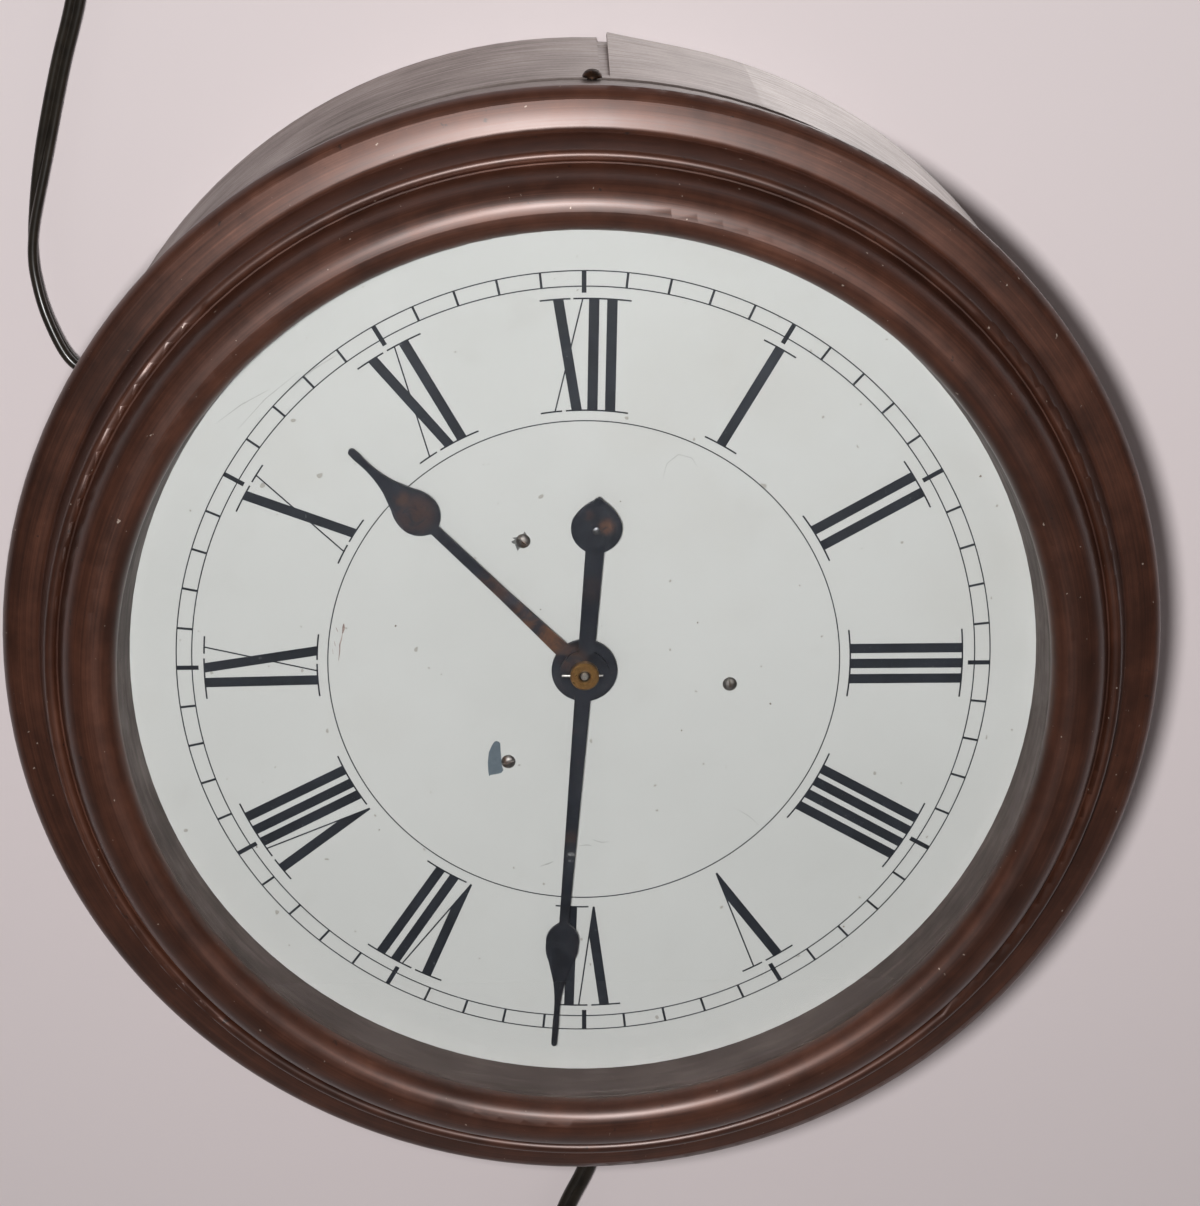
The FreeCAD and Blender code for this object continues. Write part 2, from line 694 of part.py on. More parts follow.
pawl_pivot = pawl_pivot_spot(v.pawl_length, v.pawl_angle)
click_pivot = pawl_pivot_spot(v.click_length, v.click_angle)
stop_spot = (
    v.armature_reach - v.stop_inset,
    v.armature_low - v.stop_width - v.stop_gap,
)


# Bezel, glass and the sheet parts behind them
def shell_outline(spine, thickness):
    """Outline of bent sheet from its outer face; a point is (radius, rise, tilt, bend)."""
    outer = []
    inner = []
    for radius, rise, tilt, bend in spine:
        outer.append((radius, -as_size(rise)) + ((bend,) if bend else ()))
        inner_spot = (
            radius - thickness * sine(tilt),
            thickness * cosine(tilt) - as_size(rise),
        )
        inner.append(inner_spot)
    inner.reverse()
    bends = [point[3] for point in spine][:-1]
    bends.reverse()
    closed = []
    for i, spot in enumerate(inner):
        if i < len(bends) and bends[i]:
            closed.append(spot + (thickness - bends[i],))
        else:
            closed.append(spot)
    return outer + closed


def make_bezel():
    bead_in = v.bead_radius - v.bead_bend
    bead_out = v.bead_radius + v.bead_bend
    roll_end = v.crest_radius + v.roll_outer_bend * sine(v.roll_end_tilt)
    roll_end_rise = v.crest_rise - v.roll_outer_bend * (1 - cosine(v.roll_end_tilt))
    root = v.flange_radius - v.root_width
    root_rise = v.flange_rise + v.root_rise
    spine = [
        (v.lip_radius, v.lip_rise, -90, v.roll_inner_bend),
        (v.crest_radius, v.crest_rise, 0, v.roll_outer_bend),
        (roll_end, roll_end_rise, v.roll_end_tilt, None),
        (bead_in - v.groove_width, v.bead_rise, 40, None),
        (bead_in, v.bead_rise, -85, v.bead_bend * 1.02),
        (bead_out, v.bead_rise, 77, None),
        (root, root_rise, 77, -v.root_bend),
        (v.flange_radius, v.flange_rise, 12, v.flange_bend),
        (v.edge_radius, v.edge_rise, 24, v.edge_bend),
        (v.rim_radius, v.rim_wall - v.rim_depth, 86, None),
        (v.rim_radius, -v.rim_depth, 90, None),
    ]
    return turned("bezel", shell_outline(spine, v.bezel_sheet))


def make_skirt():
    front = v.rim_depth - v.skirt_sheet
    back = v.skirt_end
    hem_outer = skirt_outer + v.hem_step
    flange_radius = v.rim_radius - v.bezel_sheet - v.sheet_gap
    outline = [
        (skirt_inner, front),
        (flange_radius, front),
        (flange_radius, v.rim_depth),
        (skirt_outer, v.rim_depth),
        (skirt_outer, back - v.hem_width),
        (hem_outer, back - v.hem_width + v.hem_edge),
        (hem_outer, back - v.hem_edge),
        (hem_outer - v.hem_edge, back),
        (skirt_inner, back),
    ]
    body = turned("bezel_skirt", outline)
    cut_skirt_holes(body, "skirt_hole")


def cut_skirt_holes(body, name):
    """Clearance holes for the radial screws."""
    radius = v.skirt_shank + v.sheet_gap
    hole = drill_radial(body, name, radius, v.skirt_screw_depth, v.skirt_screw_turn)
    repeat(body, hole, v.skirt_screw_count)


def make_sight_ring():
    seat = -glass_back_rise + v.sheet_gap
    foot = -v.sheet_gap
    top = v.lip_radius + v.sight_gap
    wall = v.glass_radius + v.glass_gap
    outline = [
        (v.view_radius, foot),
        (top, seat),
        (wall, seat),
        (wall, seat - v.glass_wall),
        (wall + v.sight_sheet, seat - v.glass_wall),
        (wall + v.sight_sheet, seat + v.sight_sheet),
        (top + v.sight_sheet, seat + v.sight_sheet),
        (v.view_radius + v.sight_sheet, foot - v.sight_sheet),
        (v.dial_radius, foot - v.sight_sheet),
        (v.dial_radius, foot),
    ]
    body = turned("sight_ring", outline)
    drill_rim(body, "sight_ring_hole", foot - v.sight_sheet, foot)


def drill_rim(body, name, front, back):
    """Clearance holes for the screws that clamp the dial's rim."""
    spot = (v.stud_radius + v.sheet_gap, 0, v.rim_screw_circle)
    repeat(body, drill(body, name, front, back, [spot]), v.rim_screw_count)


def make_dial():
    body = turned("dial", tube(v.dial_radius, v.dial_bore, 0, dial_back))
    holes = [(v.stud_radius + v.sheet_gap, x, z) for x, z in DIAL_SCREWS]
    drill(body, "dial_post_holes", 0, dial_back, holes)
    drill_rim(body, "dial_rim_hole", 0, dial_back)


def make_dial_frame():
    front = dial_back + v.sheet_gap
    corner = v.frame_corner
    inner = lining_radius - v.drum_sheet
    outline = [
        (v.frame_radius_in, front),
        (lining_radius - corner, front, corner),
        (lining_radius, front + corner),
        (lining_radius, frame_back + v.frame_flange),
        (inner, frame_back + v.frame_flange),
        (inner, front + corner),
        (lining_radius - corner, frame_back),
        (v.frame_radius_in, frame_back),
    ]
    body = turned("dial_frame", outline)
    drill_rim(body, "frame_hole", front, frame_back)


def make_rim_fixings():
    """Screws and nuts that clamp the sight ring, dial and frame together."""
    seat = -v.sheet_gap * 2 - v.sight_sheet
    head = v.stud_radius + v.rim_head
    screw = turned(
        "rim_screw_shape",
        [
            (0, seat - 1.8),
            (head - 1.3, seat - 1.6, 3.0),
            (head, seat - 0.4),
            (head, seat),
            (v.stud_radius, seat),
            (v.stud_radius, frame_back + v.thread_end),
            (0, frame_back + v.thread_end),
        ],
        keep=False,
    )
    nut_front = frame_back + v.sheet_gap
    nut_radius = v.stud_radius + v.rim_nut
    nut = turned(
        "rim_nut_shape",
        tube(nut_radius, v.stud_radius + v.fit, nut_front, nut_front + v.nut_thick),
        keep=False,
    )
    turns = even_turns(v.rim_screw_count)
    spots = [around(v.rim_screw_circle, turn) + (turn,) for turn in turns]
    copies("dial_rim_screws", screw, spots)
    copies("dial_rim_nuts", nut, spots)


def even_turns(count, first=0):
    """Turns of evenly spaced places, clockwise from the first."""
    number = int(count.number)
    return [first + WHOLE_TURN * step / number for step in range(number)]


def sector(radius_in, radius_out, *turns):
    """Outline of a ring's sector through turns clockwise from the top, each under half a turn on."""
    inner = [around(radius_in, turn) + (-as_size(radius_in),) for turn in turns[:-1]]
    inner.append(around(radius_in, turns[-1]))
    outer_turns = turns[::-1]
    outer = [around(radius_out, turn) + (as_size(radius_out),) for turn in outer_turns[:-1]]
    outer.append(around(radius_out, outer_turns[-1]))
    return inner + outer


def make_drum():
    back = wall_depth - v.drum_end_gap
    body = new_body("drum_band")
    end = WHOLE_TURN + v.seam_left
    front_sketch = new_sketch(body, "XZ_Plane", "drum_front", v.flat_start)
    trace(front_sketch, sector(drum_inner, v.drum_radius, v.seam_right, 90, 180, 270, end))
    pad(body, front_sketch, v.flat_start - v.drum_front)
    back_sketch = new_sketch(body, "XZ_Plane", "drum_back", back)
    trace(back_sketch, sector(drum_inner, v.drum_radius, v.flat_end, 90, 180, 270, end))
    pad(body, back_sketch, back - v.flat_start)
    # The sheet's right end springs flat towards the wall
    bend_front = new_sketch(body, "XZ_Plane", "sprung_end_front", v.flat_start)
    trace(bend_front, sector(drum_inner, v.drum_radius, v.seam_right, v.flat_end))
    bend_back = new_sketch(body, "XZ_Plane", "sprung_end_back", back)
    reach = v.drum_radius * sine(v.flat_end - v.seam_right)
    trace(bend_back, flat_tail(reach))
    loft = body.newObject("PartDesign::AdditiveLoft", "sprung_end")
    loft.Profile = bend_front
    loft.Sections = [bend_back]
    loft.Ruled = True
    body.Tip = loft
    doc.recompute()
    cut_skirt_holes(body, "drum_screw_hole")
    drill_radial(body, "feed_hole", grommet_hole, grommet_depth, v.feed_turn)
    drill_radial(body, "link_hole", grommet_hole, grommet_depth, v.link_turn)
    place(body)


def flat_tail(reach):
    """Sheet end that leaves the circle along its tangent."""
    inner_root = around(drum_inner, v.flat_end)
    outer_root = around(v.drum_radius, v.flat_end)
    across, up = cosine(v.flat_end), -sine(v.flat_end)
    almost_straight = v.drum_radius * 40
    inner_tip = (inner_root[0] - reach * across, inner_root[1] - reach * up)
    outer_tip = (outer_root[0] - reach * across, outer_root[1] - reach * up)
    return [
        inner_tip + (-almost_straight,),
        inner_root,
        outer_root + (almost_straight,),
        outer_tip,
    ]


def make_strap():
    """Sheet strip soldered inside the drum's seam, notched beside the seam screw."""
    body = new_body("seam_strap")
    start = frame_back + v.frame_flange + v.strap_gap
    notch_back = v.skirt_screw_depth + v.strap_notch_end
    back = wall_depth - v.pan_flange - v.strap_gap
    middle = (v.seam_left + v.seam_right) / 2
    right = middle + v.strap_reach
    for name, front, end, left in (
        ("strap_front", start, notch_back, v.skirt_screw_turn + v.strap_notch),
        ("strap_back", notch_back, back, middle - v.strap_reach),
    ):
        sketch = new_sketch(body, "XZ_Plane", name, end)
        trace(sketch, sector(lining_radius - v.drum_sheet, lining_radius, left, right))
        pad(body, sketch, end - front)
    place(body)


def make_back_pan():
    inner = lining_radius - v.pan_sheet
    inside_corner = v.pan_corner / 2
    outline = [
        (0, wall_depth - v.pan_sheet),
        (inner - inside_corner, wall_depth - v.pan_sheet),
        (inner, wall_depth - v.pan_sheet - inside_corner),
        (inner, wall_depth - v.pan_flange),
        (lining_radius, wall_depth - v.pan_flange),
        (lining_radius, wall_depth - v.pan_corner),
        (lining_radius - v.pan_corner, wall_depth),
        (0, wall_depth),
    ]
    body = turned("back_pan", outline)
    spot = (v.wall_screw_hole,) + around(wall_screw_circle, v.wall_screw_turn)
    front = wall_depth - v.pan_sheet
    hole = drill(body, "wall_screw_hole", front, wall_depth, [spot])
    repeat(body, hole, v.wall_screw_count)


def radial(label, outline, turn, depth, keep=True):
    """Piece turned about a radius of the drum, from (radius, distance) points."""
    body = new_body(label, keep)
    sketch = new_sketch(body, "XZ_Plane", f"{label}_profile")
    trace(sketch, outline)
    revolve(body, sketch)
    place(body, 0, depth, 0, turn)
    return body


def make_skirt_fixings():
    """Round-head screws through skirt and drum, with square nuts inside."""
    seat = skirt_outer + v.hem_step + v.sheet_gap
    head = v.skirt_head
    shank_end = drum_inner - v.skirt_nut_thick - 2.2
    slot_width = 0.9
    screw = radial(
        "skirt_screw_shape",
        [
            (0, shank_end),
            (v.skirt_shank, shank_end),
            (v.skirt_shank, seat),
            (head, seat),
            (head, seat + 0.6, head * 1.05),
            (0, seat + v.skirt_head_rise),
        ],
        0,
        0,
        keep=False,
    )
    slot = new_sketch(screw, "XZ_Plane", "skirt_screw_slot", -slot_width / 2)
    slot_foot = seat + v.skirt_head_rise - slot_width
    trace(slot, box(-head - 1, slot_foot, head + 1, seat + v.skirt_head_rise + 1))
    pocket(screw, slot, slot_width)
    nut = new_body("skirt_nut_shape", keep=False)
    nut_sketch = new_sketch(nut, "XY_Plane", "skirt_nut_outline")
    half = v.skirt_nut / 2
    trace(nut_sketch, box(-half, -half, half, half))
    ring(nut_sketch, v.skirt_shank + v.fit)
    nut_foot = drum_inner - v.sheet_gap * 4 - v.skirt_nut_thick
    bind(nut_sketch, "AttachmentOffset.Base.z", nut_foot.text)
    pad(nut, nut_sketch, v.skirt_nut_thick)
    spots = [(0, 0, turn) for turn in even_turns(v.skirt_screw_count, v.skirt_screw_turn)]
    copies("skirt_screws", screw, spots, v.skirt_screw_depth)
    copies("skirt_nuts", nut, spots, v.skirt_screw_depth)


def make_grommets():
    """Rubber bushes that line the two cord entries."""
    bore = v.cord_radius + v.sheet_gap
    neck = grommet_hole - v.sheet_gap
    flange = grommet_hole + v.grommet_flange
    inside = drum_inner - v.grommet_seat - v.sheet_gap
    outside = v.drum_radius + v.grommet_seat
    outline = [
        (bore, inside - v.grommet_foot),
        (flange, inside - v.grommet_foot),
        (flange, inside),
        (neck, inside),
        (neck, outside),
        (flange, outside),
        (flange, outside + 0.5, 1.6),
        (flange - 1.4, outside + v.grommet_lip),
        (bore, outside + v.grommet_lip),
    ]
    radial("feed_grommet", outline, v.feed_turn, grommet_depth)
    radial("link_grommet", outline, v.link_turn, grommet_depth)


# Cords, as plain tubes of straight runs joined by tangent arcs
def cord_solid(label, route, radius):
    spots = [Vector(*point) for point in route]
    edges = []
    bends = []
    start = spots[0]
    length = 0
    for before, corner, after in zip(spots, spots[1:], spots[2:]):
        incoming = (corner - before).normalize()
        outgoing = (after - corner).normalize()
        turn = incoming.getAngle(outgoing)
        shorter = min((corner - before).Length, (after - corner).Length)
        setback = 0.45 * shorter
        bend = setback / math.tan(turn / 2)
        first = corner - incoming * setback
        last = corner + outgoing * setback
        towards = (outgoing - incoming).normalize()
        centre_distance = bend / math.cos(turn / 2)
        middle = corner + towards * (centre_distance - bend)
        edges.append(Part.LineSegment(start, first).toShape())
        edges.append(Part.Arc(first, middle, last).toShape())
        bends.append(bend)
        length += (first - start).Length + bend * turn
        start = last
    edges.append(Part.LineSegment(start, spots[-1]).toShape())
    length += (spots[-1] - start).Length
    direction = (spots[1] - spots[0]).normalize()
    section = Part.Wire(Part.Circle(spots[0], direction, float(radius)).toShape())
    solid = Part.Wire(edges).makePipeShell([section], True, False)
    ideal = math.pi * float(radius) ** 2 * length
    print(
        f"{label}: length {length:.1f}, least bend {min(bends):.1f}, "
        f"volume {solid.Volume:.0f} against {ideal:.0f}"
    )
    if min(bends) < LEAST_BEND_DIAMETERS * 2 * float(radius):
        raise ValueError(f"{label} bends too tightly")
    return solid


def cord_piece(label, solids):
    feature = doc.addObject("Part::Feature", label)
    feature.Label = label
    feature.Shape = solids[0] if len(solids) == 1 else Part.makeCompound(solids)
    subparts.append(feature)


def make_connector(label, route, side):
    """Surface block that takes the cord's end on the wall, above it for side 1, below for -1."""
    body = new_body(label)
    half, height, deep = v.connector_width / 2, v.connector_height, v.connector_deep
    corner = v.connector_corner
    sketch = new_sketch(body, "XZ_Plane", f"{label}_outline")
    outline = [
        (half - corner, 0, corner),
        (half, corner),
        (half, height - corner, corner),
        (half - corner, height),
        (corner - half, height, corner),
        (-half, height - corner),
        (-half, corner, corner),
        (corner - half, 0),
    ]
    trace(sketch, outline)
    block = pad(body, sketch, deep)
    doc.recompute()
    front = -float(deep)
    front_edges = [
        f"Edge{number}"
        for number, edge in enumerate(block.Shape.Edges, start=1)
        if abs(edge.BoundBox.YMin - front) < 0.01 and abs(edge.BoundBox.YMax - front) < 0.01
    ]
    rounding = body.newObject("PartDesign::Fillet", f"{label}_edge")
    rounding.Base = (block, front_edges)
    bind(rounding, "Radius", v.connector_edge.text)
    body.Tip = rounding
    screw_seat = new_sketch(body, "XZ_Plane", f"{label}_screw_seat", -deep)
    ring(screw_seat, v.connector_head * 1.2, 0, height / 2)
    pocket(body, screw_seat, v.connector_sink)
    across, _, up = route[-1]
    place(body, across, wall_depth, up + side * v.sheet_gap, 90 - side * 90)
    return across, up + side * height / 2, 0


def make_connector_screws(spots):
    """Cheese-head screws that hold the two blocks' covers."""
    head = v.connector_head
    foot = v.connector_sink - v.sheet_gap
    screw = turned(
        "connector_screw_shape",
        [(0, 0.3), (head - 0.4, 0.3), (head, 0.7), (head, foot), (0, foot)],
        keep=False,
    )
    cut_slot(screw, 0.9, as_size(0.8), head + 1)
    copies("connector_screws", screw, spots, wall_depth - v.connector_deep)


# Movement frame
def make_plates():
    """Round front and back plates with every hole that a shaft, stud or screw needs."""
    thread = v.stud_radius + v.fit
    pivot = v.pivot_radius + v.run
    dial_posts = [(thread, x, z) for x, z in DIAL_SCREWS]
    pillars = [(thread,) + around(v.pillar_circle, turn) for turn in PILLAR_TURNS]
    armature_pivot = (pivot, -v.armature_pivot, armature_axis_up)
    front_holes = dial_posts + pillars + [
        armature_pivot,
        (v.front_pivot + v.run, 0, 0),
        (thread,) + stud_spot,
    ]
    back_holes = pillars + [
        armature_pivot,
        (v.rear_pivot + v.run, 0, 0),
        (thread,) + click_pivot,
        (thread,) + stop_spot,
    ]
    for side in (-1, 1):
        back_holes += [
            (thread, side * v.yoke_screw_spacing / 2, yoke_up),
            (v.lead_hole, side * v.lead_hole_across, v.lead_hole_up),
            (thread, side * v.terminal_peg, v.terminal_up),
        ]
    make_plate("front_plate", front_inner, front_holes)
    make_plate("back_plate", back_face, back_holes)


def make_plate(label, back, holes):
    plate = new_body(label)
    sketch = new_sketch(plate, "XZ_Plane", f"{label}_outline", back)
    ring(sketch, v.plate_radius)
    for radius, across, up in holes:
        ring(sketch, radius, across, up)
    pad(plate, sketch, v.plate_thick)
    place(plate)


def make_posts():
    """Dial posts, their screws through the dial and their nuts on the plate."""
    tap = v.stud_radius - v.sheet_gap
    shank = tap - v.run
    seat = dial_back + v.sheet_gap
    foot = front_face - v.sheet_gap
    edge = 0.5
    post = turned(
        "dial_post_shape",
        [
            (0, dial_back + v.post_tap),
            (tap, dial_back + v.post_tap),
            (tap, seat),
            (v.post_radius - edge, seat),
            (v.post_radius, seat + edge),
            (v.post_radius, foot),
            (v.stud_radius, foot),
            (v.stud_radius, front_inner + v.thread_end),
            (0, front_inner + v.thread_end),
        ],
        keep=False,
    )
    head = v.stud_radius + v.dial_head
    screw = turned(
        "dial_screw_shape",
        [
            (0, -1.7),
            (head / 2, -1.5, 2.2),
            (head, -0.5),
            (head, -v.sheet_gap),
            (shank, -v.sheet_gap),
            (shank, dial_back + v.post_tap - 1),
            (0, dial_back + v.post_tap - 1),
        ],
        keep=False,
    )
    cut_slot(screw, -0.8, as_size(0.6), head + 0.6)
    nut = hex_nut("post_nut_shape", front_inner + v.sheet_gap)
    slot_turns = [35, 80, -20]
    spots = [(x, z, turn) for (x, z), turn in zip(DIAL_SCREWS, slot_turns)]
    copies("dial_posts", post, spots)
    copies("dial_screws", screw, spots)
    copies("post_nuts", nut, spots)


def hex_nut(label, front):
    nut = new_body(label, keep=False)
    sketch = new_sketch(nut, "XZ_Plane", f"{label}_outline", front + v.nut_thick)
    corners = [around(v.nut_corner, 60 * number) for number in range(6)]
    trace(sketch, corners[::-1])
    ring(sketch, v.stud_radius + v.fit)
    pad(nut, sketch, v.nut_thick)
    return nut


def make_pillars():
    """Pillars between the plates, with a screw at each end."""
    front = front_inner + v.sheet_gap / 2
    back = back_inner - v.sheet_gap / 2
    waist = v.post_radius - v.pillar_waist
    taper = 2
    pillar = turned(
        "pillar_shape",
        [
            (0, front),
            (v.post_radius, front),
            (v.post_radius, front_inner + v.pillar_land),
            (waist, front_inner + v.pillar_land + taper),
            (waist, back_inner - v.pillar_land - taper),
            (v.post_radius, back_inner - v.pillar_land),
            (v.post_radius, back),
            (0, back),
        ],
        keep=False,
    )
    head = v.stud_radius + v.plate_head
    seat = back_face + v.sheet_gap
    rear = plate_screw("rear_screw_shape", seat, back_inner, head, v.head_thick, 1)
    seat = front_face - v.sheet_gap
    fore = plate_screw("front_screw_shape", seat, front_inner, head, v.head_thick, -1)
    spots = [around(v.pillar_circle, turn) + (turn,) for turn in PILLAR_TURNS]
    copies("pillars", pillar, spots)
    copies("rear_pillar_screws", rear, spots)
    copies("front_pillar_screws", fore, spots)


# Wheels# Tooth sizes as shares of the module
TOOTH_TIP = 0.8
TOOTH_ROOT = 1.2
TOOTH_PLAY = 0.14
FLANK_DEGREES = 20
MOUTH_RISE = 0.4


def toothed(label, module, teeth, bore, back, thick, turn, at=(0, 0)):
    """Spur gear whose first tooth gap points to the given turn."""
    body = new_body(label)
    pitch_radius = module * teeth / 2
    tip = pitch_radius + module * TOOTH_TIP
    root = pitch_radius - module * TOOTH_ROOT
    blank = new_sketch(body, "XZ_Plane", f"{label}_blank", back)
    ring(blank, tip)
    ring(blank, bore)
    pad(body, blank, thick)
    gap = new_sketch(body, "XZ_Plane", f"{label}_gap", back - thick - 1)
    half_gap = module * (math.pi / 4 + TOOTH_PLAY)
    slope = math.tan(math.radians(FLANK_DEGREES))
    foot = half_gap - module * TOOTH_ROOT * slope
    mouth = half_gap + module * (TOOTH_TIP + MOUTH_RISE) * slope
    outer = tip + module * MOUTH_RISE
    trace(gap, [(-foot, root), (foot, root), (mouth, outer), (-mouth, outer)])
    cut = pocket(body, gap, thick + 2)
    repeat(body, cut, teeth)
    place(body, at[0], 0, at[1], turn)
    return body


def cross_out(body, name, back, thick, radius_in, radius_out, arms, arm_degrees):
    """Windows between a wheel's arms, which are as wide at the hub as at the rim."""
    sketch = new_sketch(body, "XZ_Plane", name, back - thick - 1)
    half = WHOLE_TURN / arms / 2
    inner_half = half - arm_degrees * radius_out / radius_in
    outer_half = as_size(half - arm_degrees)
    outline = [
        around(radius_in, -inner_half) + (-radius_in,),
        around(radius_in, inner_half),
        around(radius_out, outer_half) + (radius_out,),
        around(radius_out, -outer_half),
    ]
    trace(sketch, outline)
    cut = pocket(body, sketch, thick + 2)
    repeat(body, cut, arms)


def make_ratchet():
    """Ratchet wheel of one tooth a minute, with a hub on each side."""
    body = new_body("ratchet_wheel")
    thick, back = v.ratchet_thick, v.ratchet_plane
    bore = v.arbor_body + v.fit
    blank = new_sketch(body, "XZ_Plane", "ratchet_blank", back)
    ring(blank, v.ratchet_radius)
    ring(blank, bore)
    pad(body, blank, thick)
    pitch = WHOLE_TURN / v.ratchet_teeth
    root = v.ratchet_radius - v.ratchet_tooth
    outer = v.ratchet_radius + 0.4
    gap = new_sketch(body, "XZ_Plane", "ratchet_gap", back - thick - 1)
    trace(
        gap,
        [
            around(root, 0),
            around(v.ratchet_radius - 0.02, pitch * 0.86),
            around(outer, pitch * 0.86),
            around(outer, pitch * -0.04),
        ],
    )
    cut = pocket(body, gap, thick + 2)
    repeat(body, cut, v.ratchet_teeth)
    window_edge = v.ratchet_radius - v.ratchet_rim
    cross_out(body, "ratchet_window", back, thick, v.ratchet_arm, window_edge, 5, 6)
    front = back - thick
    for name, hub_front, hub_back in (
        ("ratchet_hub_back", back, back + v.ratchet_hub_back),
        ("ratchet_hub_front", front - v.ratchet_hub_front, front),
    ):
        hub = new_sketch(body, "XZ_Plane", name, hub_back)
        ring(hub, v.ratchet_hub)
        ring(hub, bore)
        pad(body, hub, hub_back - hub_front)
    place(body)


def make_wheels():
    """Motion work that turns the hour hand once for twelve turns of the minute hand."""
    facing = v.minute_stud_turn + 180
    stud_bore = v.stud_radius + v.run
    toothed(
        "cannon_pinion",
        v.minute_module,
        v.cannon_teeth,
        v.arbor_nose + v.fit,
        cannon_back,
        v.cannon_width,
        v.minute_stud_turn,
    )
    minute_wheel = toothed(
        "minute_wheel",
        v.minute_module,
        v.minute_teeth,
        stud_bore,
        minute_wheel_back,
        v.wheel_thick,
        facing + 180 / v.minute_teeth,
        at=stud_spot,
    )
    toothed(
        "minute_pinion",
        hour_module,
        v.pinion_teeth,
        stud_bore,
        minute_pinion_back,
        v.pinion_width,
        facing,
        at=stud_spot,
    )
    hour_wheel = toothed(
        "hour_wheel",
        hour_module,
        v.hour_teeth,
        v.hour_pipe_radius + v.fit,
        hour_wheel_back,
        v.wheel_thick,
        v.minute_stud_turn + 180 / v.hour_teeth,
    )
    pinion_tip = hour_module * (v.pinion_teeth / 2 + TOOTH_TIP)
    for wheel, back, module, teeth, hub, arms in (
        (minute_wheel, minute_wheel_back, v.minute_module, v.minute_teeth, pinion_tip + v.hub_land, 4),
        (hour_wheel, hour_wheel_back, hour_module, v.hour_teeth, v.hour_pipe_radius + v.hour_hub, 5),
    ):
        root = module * (teeth / 2 - TOOTH_ROOT)
        name = f"{wheel.Label}_window"
        cross_out(wheel, name, back, v.wheel_thick, hub, root - v.wheel_rim, arms, 8)


def make_arbors():
    """Minute arbor, the pipes that turn on it and the minute wheel's stud."""
    nose = v.arbor_nose
    edge = 0.3
    front = -v.collet_rise + 0.4
    pivot_front = front_face - edge
    pivot_back = back_face + 0.8
    arbor = turned(
        "minute_arbor",
        [
            (0, front),
            (nose - edge, front),
            (nose, front + edge),
            (nose, pivot_front),
            (v.front_pivot, pivot_front),
            (v.front_pivot, front_inner + v.end_play),
            (v.arbor_body, front_inner + v.end_play),
            (v.arbor_body, back_inner - v.end_play),
            (v.rear_pivot, back_inner - v.end_play),
            (v.rear_pivot, pivot_back),
            (0, pivot_back),
        ],
    )
    cut_pin_hole(arbor, "arbor_pin_hole")
    # Tube that the cannon pinion's leaves are cut on, up to the minute hand
    bore = nose + v.fit
    pipe_front = -v.minute_rise - v.sheet_gap
    shoulder = -v.minute_rise + v.hand_thick
    pipe_back = cannon_back - v.cannon_width - v.sheet_gap
    turned(
        "cannon_pipe",
        [
            (bore, pipe_front),
            (minute_seat, pipe_front),
            (minute_seat, shoulder),
            (v.cannon_radius, shoulder),
            (v.cannon_radius, pipe_back),
            (bore, pipe_back),
        ],
    )
    bore = v.cannon_radius + v.run
    shoulder = -v.hour_rise + v.hand_thick
    turned(
        "hour_pipe",
        [
            (bore, -v.hour_rise),
            (hour_seat, -v.hour_rise),
            (hour_seat, shoulder),
            (v.hour_pipe_radius, shoulder),
            (v.hour_pipe_radius, hour_wheel_back),
            (bore, hour_wheel_back),
        ],
    )
    seat = front_face - v.sheet_gap
    flange_front = minute_wheel_back + v.end_play * 2
    head = v.stud_radius + v.stud_head
    head_back = minute_pinion_back - v.pinion_width - v.end_play
    head_front = head_back - 0.7
    turned(
        "minute_wheel_stud",
        [
            (0, head_front),
            (head, head_front),
            (head, head_back),
            (v.stud_radius, head_back),
            (v.stud_radius, flange_front),
            (v.stud_flange, flange_front),
            (v.stud_flange, seat),
            (v.stud_radius, seat),
            (v.stud_radius, front_inner),
            (0, front_inner),
        ],
        across=stud_spot[0],
        up=stud_spot[1],
    )


def cut_pin_hole(body, name):
    """Cross hole for the taper pin that holds the collet."""
    hole = new_sketch(body, "YZ_Plane", name)
    ring(hole, v.pin_radius + v.fit, -pin_rise, 0)
    pocket(body, hole, v.collet_radius * 4, both_ways=True)


# Hands
RIVET_EDGE = 0.1
RIVET_RISE = 0.35


def boss_edge(boss, half_width):
    """Height on a round boss where a hand of a half width leaves it."""
    return square_root(boss * boss - half_width * half_width)


def make_hour_hand():
    body = new_body("hour_hand")
    sketch = new_sketch(body, "XZ_Plane", "hour_outline", v.hand_thick - v.hour_rise)
    tip = v.hour_length
    boss = v.hour_boss
    right = [
        (0, -boss, boss),
        (v.hour_root, boss_edge(boss, v.hour_root)),
        (1.9, boss * 3.45),
        (1.75, tip - 39.3),
        (3.7, tip - 38.1, 8.4),
        (7.25, tip - 31.3, 13.0),
        (5.2, tip - 24.3),
        (2.7, tip - 18.1, -38.0),
        (1.35, tip - 3.5),
        (1.2, tip - 1.2, 1.25),
        (0, tip),
    ]
    trace(sketch, both_sides(right))
    ring(sketch, hour_seat + v.fit)
    pad(body, sketch, v.hand_thick)
    place(body, 0, 0, 0, v.hour_turn)


